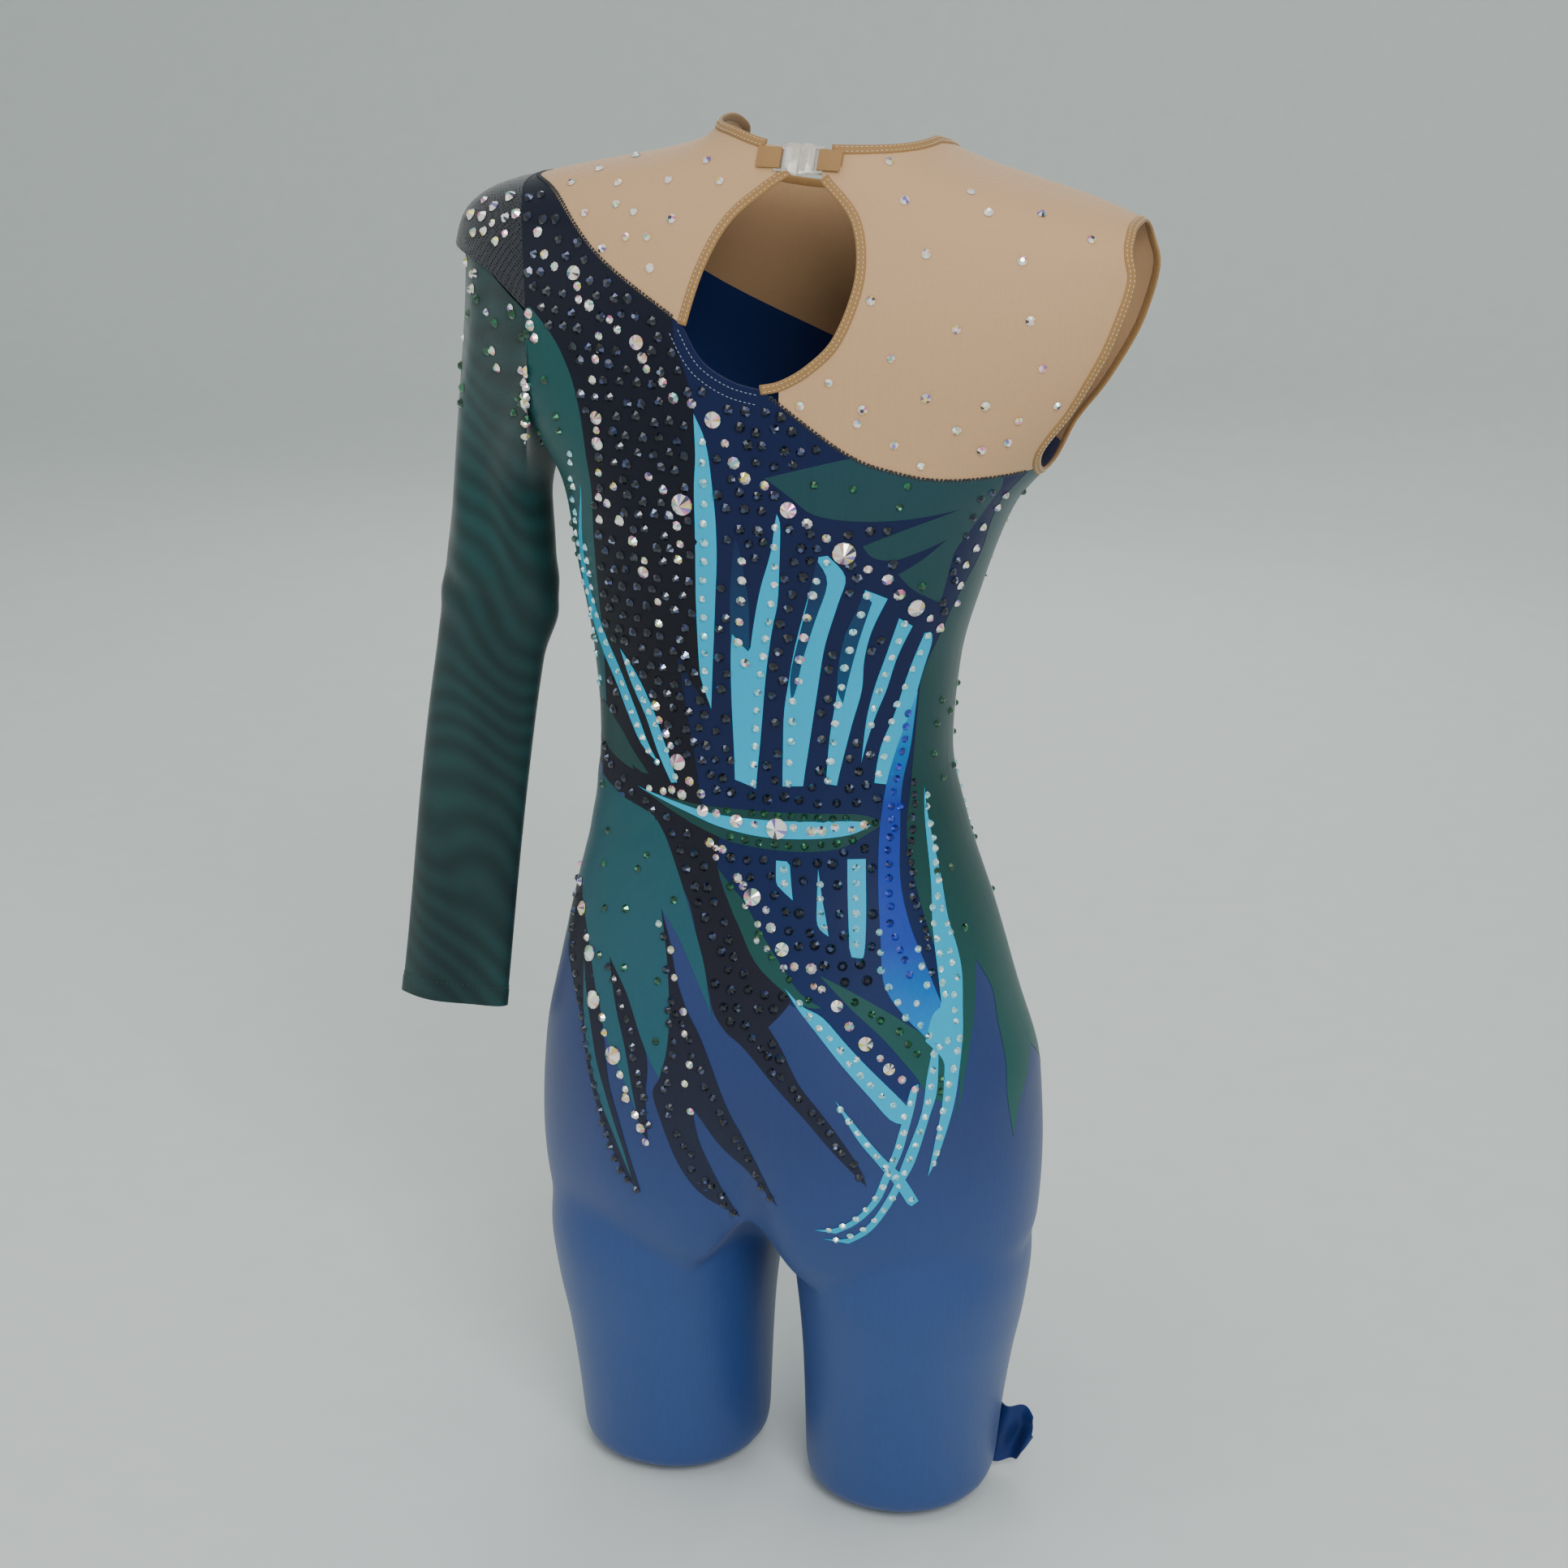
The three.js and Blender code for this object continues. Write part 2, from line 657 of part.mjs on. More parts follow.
// A stretch of sleeve between two ends. The top end slopes from the shoulder down to the armpit.
function sleeveTube(outerInset, innerInset, lowEnd, slopesUp) {
  const topAt = (angle, isMiddle) => {
    const share = isMiddle ? 0.5 : 0.5 + Math.cos(angle) / 2;
    return sleeveArmpitHeight + (sleeveTopHeight - sleeveArmpitHeight) * share;
  };
  const middleRings = sleeveStations.slice(1, -2).map((row) => row[0]);
  const loft = (inset, over) => loftSolid({
    stations: sleeveStations,
    inset,
    rings: slopesUp ? middleRings.length + 4 : 2,
    heightAt: (ring, angle, isMiddle) => {
      if (ring === 0) return lowEnd - over;
      if (!slopesUp) return lowEnd + cuffHemHeight + over;
      if (ring <= middleRings.length) return middleRings[ring - 1];
      const last = middleRings[middleRings.length - 1];
      const shares = [0.4, 0.75, 1];
      const share = shares[ring - middleRings.length - 1];
      return last + (topAt(angle, isMiddle) + over - last) * share;
    },
    around: aroundSleeve,
    squareness: sleeveSquareness,
  });
  return loft(outerInset, 0).subtract(loft(innerInset, 2));
}

// ---- The clasp, in its own plane: X across, Y through, Z up ----

// One half's plate, for the wearer's left (side 1) or right (side -1), with its eye and bar.
function claspPlate(side) {
  const half = claspHalfHeight;
  const end = claspHalfWidth;
  const shape = new THREE.Shape();
  shape.moveTo(claspParting / 2, -half);
  shape.lineTo(end * 0.4, -half * 0.85);
  shape.lineTo(end, -half * 0.85);
  shape.lineTo(end, half * 0.85);
  shape.lineTo(end * 0.6, half * 0.85);
  shape.quadraticCurveTo(end * 0.5, half, end * 0.3, half);
  shape.quadraticCurveTo(claspParting, half, claspParting / 2, half * 0.75);
  const points = shape.getPoints(4).map((point) => corner(side * point.x, point.y));
  const plate = prismSolid(points, -claspThickness / 2, claspThickness / 2);
  const across = (from, to, y, z) => {
    const ends = [side * from, side * to].sort((a, b) => a - b);
    return boxSolid([ends[0], y[0], z[0]], [ends[1], y[1], z[1]]);
  };
  const bar = end - barWidth;
  const eyeHalf = tabHeight / 2 + claspRunningGap;
  const through = claspThickness;
  return plate
    .subtract(across(bar - eyeWidth, bar, [-through, through], [-eyeHalf, eyeHalf]))
    .subtract(across(bar - 0.1, end + 1, [barThickness / 2, through], [-eyeHalf, eyeHalf]))
    .subtract(across(bar - 0.1, end + 1, [-through, -barThickness / 2], [-eyeHalf, eyeHalf]));
}

// The rail of the left half, or with a gap round it the groove of the right half.
function claspRail(gap, top) {
  const low = -claspHalfHeight + claspFloorHeight + claspRunningGap - gap;
  const headStart = -railNeckLength;
  return boxSolid(
    [headStart - 0.1, -railNeckThickness / 2 - gap, low],
    [claspParting + 0.5, railNeckThickness / 2 + gap, top],
  ).add(boxSolid(
    [headStart - railHeadLength - gap, -railHeadThickness / 2 - gap, low],
    [headStart + gap, railHeadThickness / 2 + gap, top],
  ));
}

const claspHook = claspPlate(1).add(claspRail(0, claspHalfHeight * 0.6));
const claspCatch = claspPlate(-1).subtract(claspRail(claspRunningGap, claspHalfHeight * 2));

// A cloth tab folded round the bar of one half.
function neckTab(side) {
  const fold = claspHalfWidth - barWidth - claspRunningGap;
  const inner = barThickness / 2 + claspRunningGap;
  const outer = inner + tabClothThickness;
  const end = claspHalfWidth + tabReach;
  const shape = new THREE.Shape([
    corner(end, outer), corner(fold - tabClothThickness, outer),
    corner(fold - tabClothThickness, -outer), corner(end, -outer),
    corner(end, -inner), corner(fold, -inner), corner(fold, inner), corner(end, inner),
  ].map((point) => corner(side * point.x, point.y)));
  const geometry = new THREE.ExtrudeGeometry(shape, { depth: tabHeight, bevelEnabled: false });
  geometry.translate(0, 0, -tabHeight / 2);
  return solidOf(geometry);
}

// ---- Large crystals: share of half width, body height, diameter ----

// Body heights run from -1 at the crotch, through 0 at the waist and 1 at the underarm, to 2 at the nape.
function bodyHeight(level) {
  if (level < 0) return toCrotch(-level);
  return level < 1 ? toUnderarm(level) : upperHeight(level - 1);
}

const largeCrystals = [
  [0.24, 0.89, 12], [-0.48, 0.77, 13], [-0.82, 0.57, 10.5], [-0.21, -0.105, 12], [-0.07, -0.228, 10],
  [0.1, 1.18, 9], [-0.21, 0.905, 9], [0.33, 1.41, 8], [0.53, 1.61, 8], [0.52, 1.14, 7.5],
  [0.56, 1.05, 7.5], [0.45, 0.64, 7], [0.35, -0.01, 9.5], [0.01, -0.1, 7.5], [0.2, -0.09, 7],
  [0.74, -0.395, 10], [0.67, -0.47, 11], [0.53, -0.554, 11], [0.85, -0.332, 9],
  [-0.21, -0.311, 8], [-0.44, -0.4, 7], [-0.54, -0.464, 8.5], [-0.61, -0.509, 7],
];

function crystalMesh(index, [share, level, diameter]) {
  const height = bodyHeight(level);
  const normal = normalOn(share, height);
  const rise = diameter * crystalHeightShare;
  const geometry = new THREE.CylinderGeometry(
    (diameter / 2) * crystalTableShare,
    diameter / 2,
    rise,
    crystalSides,
  );
  const mesh = meshOf(`crystal_${String(index + 1).padStart(2, '0')}`, solidOf(geometry), glass);
  mesh.position.copy(onForm(share, height, 0)).addScaledVector(normal, glueThickness + rise / 2);
  mesh.quaternion.setFromUnitVectors(new THREE.Vector3(0, 1, 0), normal);
  return mesh;
}

// ---- Materials and assembly ----

function material(color, roughness, metalness = 0) {
  return new THREE.MeshStandardMaterial({ color, roughness, metalness });
}

const printedLycra = material('#22356b', 0.45);
const nudeMesh = material('#c9a67c', 0.8);
const nudeBinding = material('#b08e66', 0.7);
const blackMesh = material('#23262f', 0.8);
const greenMesh = material('#1c4440', 0.75);
const blueLycra = material('#34508a', 0.45);
const liningCloth = material('#cdb48f', 0.85);
const clearPlastic = material('#e9e2d6', 0.15);
const glass = material('#dfe8ee', 0.05, 0.2);

function meshOf(name, solid, surface) {
  const mesh = new THREE.Mesh(geometryOf(solid), surface);
  mesh.name = name;
  return mesh;
}

const unitard = new THREE.Group();
unitard.add(
  meshOf('back_panel', backPanel(), printedLycra),
  meshOf('front_panel', frontPanel(), printedLycra),
  meshOf('yoke_back_left', backYoke(1), nudeMesh),
  meshOf('yoke_back_right', backYoke(-1), nudeMesh),
  meshOf('yoke_front', frontYoke(), nudeMesh),
  meshOf('neck_binding', neckBinding, nudeBinding),
  meshOf('keyhole_binding_left', keyholeBindingLeft, nudeBinding),
  meshOf('keyhole_binding_right', keyholeBindingRight, nudeBinding),
  meshOf('keyhole_facing', keyholeFacing(), printedLycra),
  meshOf('armhole_binding', armholeBinding, nudeBinding),
  meshOf('shoulder_cap', shoulderCap(), blackMesh),
  meshOf('leg_left_turned_edge', turnedEdge(1), blueLycra),
  meshOf('leg_right_turned_edge', turnedEdge(-1), blueLycra),
  meshOf('leg_right_surplus', legSurplus(), blueLycra),
  meshOf('front_lining', frontLining(), liningCloth),
  meshOf('gusset_lining', gussetLining(), liningCloth),
);

const sleeve = new THREE.Group();
const hemTop = sleeveEndHeight + cuffHemHeight + seamGap;
sleeve.add(
  meshOf('sleeve', sleeveTube(0, clothThickness, hemTop, true), greenMesh),
  meshOf(
    'sleeve_hem',
    sleeveTube(-cuffHemExtra, clothThickness + cuffHemExtra, sleeveEndHeight, false),
    greenMesh,
  ),
);

const clasp = new THREE.Group();
clasp.rotation.x = THREE.MathUtils.degToRad(claspSlope);
clasp.position.copy(claspPlace);
clasp.add(
  meshOf('clasp_hook', claspHook, clearPlastic),
  meshOf('clasp_catch', claspCatch, clearPlastic),
  meshOf('neck_tab_left', neckTab(1), nudeBinding),
  meshOf('neck_tab_right', neckTab(-1), nudeBinding),
);

const crystals = new THREE.Group();
largeCrystals.forEach((row, index) => crystals.add(crystalMesh(index, row)));

unitard.add(sleeve, clasp, crystals);

export default unitard;
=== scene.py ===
import math
import random

import bmesh
import bpy
import numpy as np
from mathutils import Matrix, Vector
from mathutils.bvhtree import BVHTree
from mathutils.geometry import delaunay_2d_cdt


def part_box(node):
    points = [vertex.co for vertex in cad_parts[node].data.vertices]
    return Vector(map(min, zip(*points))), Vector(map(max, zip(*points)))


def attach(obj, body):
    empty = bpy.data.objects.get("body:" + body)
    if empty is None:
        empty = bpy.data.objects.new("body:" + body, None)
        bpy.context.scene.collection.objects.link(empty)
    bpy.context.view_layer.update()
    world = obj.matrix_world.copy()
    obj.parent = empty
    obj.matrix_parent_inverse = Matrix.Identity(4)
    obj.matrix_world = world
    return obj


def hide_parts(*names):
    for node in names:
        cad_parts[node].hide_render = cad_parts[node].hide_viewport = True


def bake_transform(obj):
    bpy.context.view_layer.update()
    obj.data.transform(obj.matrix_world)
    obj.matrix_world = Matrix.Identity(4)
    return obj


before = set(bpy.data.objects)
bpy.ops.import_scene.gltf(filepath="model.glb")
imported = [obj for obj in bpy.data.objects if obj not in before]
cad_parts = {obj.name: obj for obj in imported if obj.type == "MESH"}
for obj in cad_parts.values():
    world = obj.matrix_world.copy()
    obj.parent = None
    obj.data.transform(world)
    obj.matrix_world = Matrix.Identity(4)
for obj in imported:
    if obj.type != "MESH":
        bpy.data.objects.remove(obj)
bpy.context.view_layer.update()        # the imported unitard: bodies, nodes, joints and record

mm = 0.001
up = Vector((0, 0, 1))

# The worn shape, as the cloth panels follow it. Rows go up the body, in millimetres:
# height, half width, lean to the left, depth behind the side seams, depth in front.
wornShape = {
    "rows": [
        (-334, 140, 0, 84, 66), (-310.6, 160, 0, 98, 78), (-267.2, 162, 0, 109, 82),
        (-203.7, 158, 0, 113, 84), (-155.3, 145.5, 3, 106, 83), (-103.5, 131.5, 6, 91, 82),
        (-51.8, 116.5, 10, 77, 80), (0, 108.5, 14, 70, 78), (50.9, 111.5, 14, 76, 84),
        (102.1, 122, 12, 86, 97), (151.9, 135, 7, 94, 106), (180, 155, 4, 95, 102),
        (214, 184, 2, 95, 90), (248, 206, -1, 94, 77), (276, 213, -3, 90, 68),
        (300, 211, -5, 82, 61), (316, 196, -6, 75, 58), (328, 164, -8, 69, 58),
        (338, 122, -10, 66, 60), (346, 88, -12, 62, 61), (356, 64, -13, 57, 61),
        (375, 57, -16, 50, 60),
    ],
    "thighRows": [
        (-500, 61, 77.5, 64, 61), (-450, 63.5, 79, 71, 65), (-405, 67, 81, 78, 70),
        (-370.5, 71.5, 82.5, 85, 74), (-334, 75, 82.5, 91, 77), (-290.6, 73, 79, 84, 66),
    ],
    "bodySquareness": 2.3,
    "thighSquareness": 2.1,
    "legEnd": -500,
    "endRounding": 7,
    "endShare": 0.06,              # the part of a thigh's rows that its rounded end takes
    "voxel": 3.4,
    "smoothings": 10,
}

# Seams and edges on the upper body, as a share of the half width and of the height from underarm
# to nape. The neckline is the turn round the body in degrees, and a height.
edges = {
    "underarm": 180,
    "upper": 170,
    "yokeBack": [(1.02, .865), (.77, .84), (.46, .66), (.2, .48), (-.04, .29),
                 (-.34, .1), (-.53, .04), (-.73, .01), (-1.03, .02)],
    "yokeFront": [(1.02, .865), (.74, .78), (.42, .5), (.05, .28), (-.4, .1), (-.7, .04), (-1.03, .02)],
    "keyholeLeft": [(.0, .965), (.08, .91), (.135, .81), (.17, .67), (.2, .48)],
    "keyholeLow": [(.2, .48), (.14, .37), (.05, .31), (-.04, .29)],
    "keyholeRight": [(-.04, .29), (-.1, .31), (-.17, .37), (-.23, .47), (-.26, .65), (-.25, .82),
                     (-.2, .95)],
    "rightArm": [(-1, .82), (-.94, .77), (-.92, .65), (-.9, .45), (-.91, .25), (-.93, .09), (-1, -.02)],
    "leftArm": [(1, .86), (.81, .8), (.72, .7), (.68, .5), (.74, .26), (.83, .13), (1.02, -.02)],
    "capLow": [(.6, .43), (.68, .47), (.82, .58), (1, .63), (1.1, .65)],
    "neckline": [(-180, 357), (-135, 346), (-90, 320), (-45, 347), (0, 363), (45, 362),
                 (90, 356), (135, 356), (180, 357)],
}


# Helpers

def smoothRows(rows):              # the rows read every millimetre, smooth and never past them
    rows = np.array(rows, float)
    x = rows[:, 0]
    at = np.arange(x[0], x[-1] + 0.5, 1.0)
    columns = [at]
    for y in rows[:, 1:].T:
        steps = np.diff(y) / np.diff(x)
        slope = np.empty(len(x))
        slope[0], slope[-1] = steps[0], steps[-1]
        for i in range(1, len(x) - 1):
            product = steps[i - 1] * steps[i]
            slope[i] = 2 * product / (steps[i - 1] + steps[i]) if product > 0 else 0
        i = np.clip(np.searchsorted(x, at, side="right") - 1, 0, len(x) - 2)
        run = x[i + 1] - x[i]
        t = (at - x[i]) / run
        columns.append(
            (2 * t ** 3 - 3 * t ** 2 + 1) * y[i] + (t ** 3 - 2 * t ** 2 + t) * run * slope[i]
            + (3 * t ** 2 - 2 * t ** 3) * y[i + 1] + (t ** 3 - t ** 2) * run * slope[i + 1])
    return np.array(columns)


bodyTable = smoothRows(wornShape["rows"])
thighTable = smoothRows(wornShape["thighRows"])
necklineTable = smoothRows(edges["neckline"])


def readTable(table, z):
    return [float(np.interp(z, table[0], column)) for column in table[1:]]


def rounded(angle, squareness):    # a rounded square's place across and through, -1 to 1
    c, s = math.cos(angle), math.sin(angle)
    power = 2 / squareness
    return math.copysign(abs(c) ** power, c), math.copysign(abs(s) ** power, s)


def sectionPlace(table, squareness, angle, z, inset=0, side=1):
    halfWidth, middle, back, front = readTable(table, z)
    across, through = rounded(angle, squareness)
    depth = back if through > 0 else front
    return Vector((side * middle + (halfWidth - inset) * across, (depth - inset) * through, z)) * mm


def flatPlace(share, upShare):     # an edge point as x and z
    z = edges["underarm"] + edges["upper"] * upShare
    halfWidth, middle = readTable(bodyTable, z)[:2]
    return (middle + share * halfWidth, z)


def smoothLine(points, perSpan=5, closed=False):    # a curve through every point
    p = [np.array(q, float) for q in points]
    count = len(p)
    spans = count if closed else count - 1
    line = []
    for i in range(spans):
        a, b, c, d = (p[(i + k) % count] if closed else p[min(max(i + k, 0), count - 1)]
                      for k in (-1, 0, 1, 2))
        for k in range(perSpan):
            t = k / perSpan
            line.append(0.5 * (2 * b + (c - a) * t + (2 * a - 5 * b + 4 * c - d) * t ** 2
                               + (3 * b - 3 * c + d - a) * t ** 3))
    if not closed:
        line.append(p[-1])
    return line


def corneredLine(points, perSpan=5, corner=48):    # a closed curve that keeps corners over 48 degrees
    p = [np.array(q, float) for q in points]
    count = len(p)
    corners = []
    for i in range(count):
        a, b = p[i] - p[i - 1], p[(i + 1) % count] - p[i]
        cosine = float(a @ b) / max(float(np.linalg.norm(a) * np.linalg.norm(b)), 1e-12)
        if math.degrees(math.acos(max(min(cosine, 1), -1))) > corner:
            corners.append(i)
    if not corners:
        return smoothLine(points, perSpan, closed=True)
    line = []
    for first, last in zip(corners, corners[1:] + [corners[0] + count]):
        line += smoothLine([p[i % count] for i in range(first, last + 1)], perSpan)[:-1]
    return line


def evenly(points, step):          # the same line with points at equal distances
    places = np.array([tuple(point) for point in points], float)
    run = np.concatenate([[0], np.cumsum(np.linalg.norm(np.diff(places, axis=0), axis=1))])
    count = max(2, int(round(run[-1] / step)) + 1)
    at = np.linspace(0, run[-1], count)
    return [Vector([float(np.interp(a, run, places[:, k])) for k in range(places.shape[1])]) for a in at]


def edgeLine(name):                # a seam or edge as a smooth line in x and z
    return smoothLine([flatPlace(*point) for point in edges[name]])


def outlineDistance(points):       # metres inside an x-z outline, and negative outside it
    p = np.array([(q[0], q[1]) for q in points], float) * mm

    def distance(co):
        co = np.asarray(co, float)
        x, z = co[:, 0], co[:, -1]
        best = np.full(len(co), 1e9)
        inside = np.zeros(len(co), bool)
        for a, b in zip(p, np.roll(p, -1, axis=0)):
            d = b - a
            size = max(float(d @ d), 1e-18)
            t = np.clip(((x - a[0]) * d[0] + (z - a[1]) * d[1]) / size, 0, 1)
            best = np.minimum(best, np.hypot(x - a[0] - t * d[0], z - a[1] - t * d[1]))
            if a[1] != b[1]:
                at = (b[0] - a[0]) * (z - a[1]) / (b[1] - a[1]) + a[0]
                inside ^= ((a[1] > z) != (b[1] > z)) & (x < at)
        return np.where(inside, best, -best)
    return distance


def gridSheet(columns, rows, placeAt, closed=False):    # a grid laid out by placeAt(u, v)
    bm = bmesh.new()
    bmesh.ops.create_grid(bm, x_segments=columns, y_segments=rows, size=1)
    for vert in bm.verts:
        vert.co = placeAt((vert.co.x + 1) / 2, (vert.co.y + 1) / 2)
    if closed:
        bmesh.ops.remove_doubles(bm, verts=bm.verts, dist=1e-6)
    return bm


def snip(bm, distance, keep=1):    # cuts along distance = 0 and throws the other side away
    bm.verts.index_update()
    values = distance(np.array([vert.co[:] for vert in bm.verts])) + 1e-9
    crossing = [e for e in bm.edges if values[e.verts[0].index] * values[e.verts[1].index] < 0]
    made = []
    for edge in crossing:
        a, b = edge.verts
        share = values[a.index] / (values[a.index] - values[b.index])
        made.append(bmesh.utils.edge_split(edge, a, min(max(share, 0.002), 0.998))[1])
    if made:
        bmesh.ops.connect_verts(bm, verts=made)
    faces = bm.faces[:]
    signs = distance(np.array([face.calc_center_median()[:] for face in faces]))
    wrong = [face for face, sign in zip(faces, signs) if sign * keep < 0]
    bmesh.ops.delete(bm, geom=wrong, context="FACES")
    loose = [vert for vert in bm.verts if not vert.link_faces]
    bmesh.ops.delete(bm, geom=loose, context="VERTS")
    return bm


def dropCrumbs(bm, least=40):      # small islands that a cut leaves behind
    left = set(bm.faces)
    while left:
        island, queue = set(), [left.pop()]
        while queue:
            face = queue.pop()
            island.add(face)
            for edge in face.edges:
                for near in edge.link_faces:
                    if near in left:
                        left.discard(near)
                        queue.append(near)
        if len(island) < least:
            bmesh.ops.delete(bm, geom=list(island), context="FACES")
    loose = [vert for vert in bm.verts if not vert.link_faces]
    bmesh.ops.delete(bm, geom=loose, context="VERTS")


def finishPiece(name, bm, material, body="garment", smooth=True, outward=False):
    if outward:
        bmesh.ops.recalc_face_normals(bm, faces=bm.faces)
    mesh = bpy.data.meshes.new(name)
    bm.to_mesh(mesh)
    bm.free()
    obj = bpy.data.objects.new(name, mesh)
    bpy.context.scene.collection.objects.link(obj)
    for polygon in mesh.polygons:
        polygon.use_smooth = smooth
    for one in material if isinstance(material, (list, tuple)) else [material]:
        mesh.materials.append(one)
    if body:
        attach(obj, body)
    return obj


def applyModifiers(obj):           # the finished mesh, with nothing left live on it
    graph = bpy.context.evaluated_depsgraph_get()
    mesh = bpy.data.meshes.new_from_object(obj.evaluated_get(graph), depsgraph=graph)
    old = obj.data
    obj.modifiers.clear()
    obj.data = mesh
    bpy.data.meshes.remove(old)


def thicken(obj, thickness, offset=-1):
    solid = obj.modifiers.new("Thickness", "SOLIDIFY")
    solid.thickness = thickness * mm
    solid.offset = offset
    applyModifiers(obj)
    obj.data.set_sharp_from_angle(angle=math.radians(50))    # the cut edges stay crisp


stretches = {"panel": 1.25, "yoke": 1.15, "small": 1.1, "loose": 1.0}    # worn area over flat area
cutShares = {"least": 0.31, "most": 0.9}    # how much of its flat rectangle a piece of cloth fills


def declareSheet(obj, stretch):
    # the flat cut is the worn face's area over the stretch, and both faces are in the mesh
    area = sum(polygon.area for polygon in obj.data.polygons) / 2 / stretches[stretch]
    size = Vector(obj.bound_box[6]) - Vector(obj.bound_box[0])
    width, length = sorted((size.x, size.z))
    width = max(width, area / length / cutShares["most"], 0.01)
    area = max(area, cutShares["least"] * width * length)


# Materials

def linear(code):                  # an sRGB hex colour as linear RGBA
    values = [int(code[i:i + 2], 16) / 255 for i in (1, 3, 5)]
    return tuple(v / 12.92 if v <= 0.04045 else ((v + 0.055) / 1.055) ** 2.4 for v in values) + (1.0,)


def addNode(tree, kind, settings=None, links=None, stops=None):
    node = tree.nodes.new(kind)
    if stops:                      # a colour ramp's places and colours
        while len(node.color_ramp.elements) < len(stops):
            node.color_ramp.elements.new(0.5)
        for element, (at, code) in zip(node.color_ramp.elements, stops):
            element.position = at
            element.color = linear(code)
    for key, value in (settings or {}).items():
        if isinstance(key, str) and hasattr(node, key):
            setattr(node, key, value)
        else:
            node.inputs[key].default_value = value
    for key, source in (links or {}).items():
        tree.links.new(source, node.inputs[key])
    return node


def newMaterial(name):
    material = bpy.data.materials.new(name)
    material.use_nodes = True
    material.node_tree.nodes.clear()
    return material, material.node_tree


def closeMaterial(tree, shader):
    addNode(tree, "ShaderNodeOutputMaterial", links={"Surface": shader.outputs[0]})


def place(tree, scale=(1, 1, 1), turn=(0, 0, 0)):
    where = addNode(tree, "ShaderNodeTexCoord")
    return addNode(tree, "ShaderNodeMapping", {"Scale": scale, "Rotation": turn},
                   {"Vector": where.outputs["Object"]})


waveUnit = 0.314    # a wave texture of this scale repeats once a metre


def knit(tree, pitch):
    # Rows of knitted loops: ribs along the cloth crossed by courses. The real pitch is about 0.3 mm,
    # and it is drawn coarser so that it shows.
    at = place(tree)
    rows = [addNode(tree, "ShaderNodeTexWave",
                    {"wave_type": "BANDS", "bands_direction": way, "Scale": waveUnit / (spacing * mm),
                     "Distortion": 0.6, "Detail": 1.0, "Detail Scale": 2.0}, {"Vector": at.outputs[0]})
            for way, spacing in (("X", pitch), ("Z", pitch * 1.2))]
    return addNode(tree, "ShaderNodeMath", {"operation": "MULTIPLY"},
                   {0: rows[0].outputs["Fac"], 1: rows[1].outputs["Fac"]})


def streaks(tree, across=1.4, along=60):    # long faint streaks down the cloth, as stretched knit shows
    at = place(tree, scale=(1 / (across * mm), 1 / (across * mm), 1 / (along * mm)))
    return addNode(tree, "ShaderNodeTexNoise", {"Scale": 1.0, "Detail": 3.0, "Roughness": 0.6},
                   {"Vector": at.outputs[0]})


def tinted(tree, color, factor, low, high):    # the same colour, a little darker and lighter
    span = addNode(tree, "ShaderNodeMapRange", {"To Min": low, "To Max": high}, {"Value": factor})
    settings = {"data_type": "RGBA", "blend_type": "MULTIPLY", "Factor": 1.0}
    links = {7: span.outputs[0]}
    (settings if isinstance(color, tuple) else links)[6] = color    # one colour, or a pattern's
    return addNode(tree, "ShaderNodeMix", settings, links)


def clothMaterial(name, colorOf, roughness=0.42, sheen=0.25, specular=0.5, pitch=0.9, bump=0.10,
                  contrast=(0.88, 1.10)):
    material, tree = newMaterial(name)
    loops = knit(tree, pitch)
    streak = streaks(tree)
    shaded = tinted(tree, colorOf(tree), streak.outputs["Fac"], *contrast)
    shaded = tinted(tree, shaded.outputs[2], loops.outputs[0], 0.93, 1.05)
    height = addNode(tree, "ShaderNodeBump", {"Strength": bump, "Distance": 0.25 * mm},
                     {"Height": loops.outputs[0]})
    shader = addNode(tree, "ShaderNodeBsdfPrincipled",
                     {"Roughness": roughness, "Sheen Weight": sheen, "Sheen Roughness": 0.45,
                      "Specular IOR Level": specular},
                     {"Base Color": shaded.outputs[2], "Normal": height.outputs[0]})
    closeMaterial(tree, shader)
    return material


def plainColor(code):
    return lambda tree: linear(code)


def alongHeight(stops, low, high):    # an airbrushed run of colours up the body, with a wavering edge
    def colorOf(tree):
        at = place(tree)
        split = addNode(tree, "ShaderNodeSeparateXYZ", links={"Vector": at.outputs[0]})
        soft = addNode(tree, "ShaderNodeTexNoise", {"Scale": 1 / (111 * mm), "Detail": 1.0},
                       {"Vector": at.outputs[0]})
        blur = addNode(tree, "ShaderNodeMath", {"operation": "MULTIPLY_ADD", 1: 0.02},
                       {0: soft.outputs["Fac"], 2: split.outputs["Z"]})
        span = addNode(tree, "ShaderNodeMapRange", {"From Min": low * mm, "From Max": high * mm},
                       {"Value": blur.outputs[0]})
        return addNode(tree, "ShaderNodeValToRGB", links={"Fac": span.outputs[0]}, stops=stops).outputs[0]
    return colorOf


def glassWithPaintedFacets(name, stops, metallic=0.5):
    # lead-free faceted glass with a foiled back: each facet gets one fixed colour from the ramp, the glass's
    # own colour mixed with painted glints and painted reflections
    material, tree = newMaterial(name)
    tone = addNode(tree, "ShaderNodeAttribute", {"attribute_name": "tone"})
    ramp = addNode(tree, "ShaderNodeValToRGB", links={"Fac": tone.outputs["Fac"]}, stops=stops)
    ramp.color_ramp.interpolation = "CONSTANT"
    shader = addNode(tree, "ShaderNodeBsdfPrincipled",
                     {"Metallic": metallic, "Roughness": 0.07, "IOR": 1.55, "Coat Weight": 1.0,
                      "Coat Roughness": 0.03},
                     {"Base Color": ramp.outputs[0]})
    closeMaterial(tree, shader)
    return material


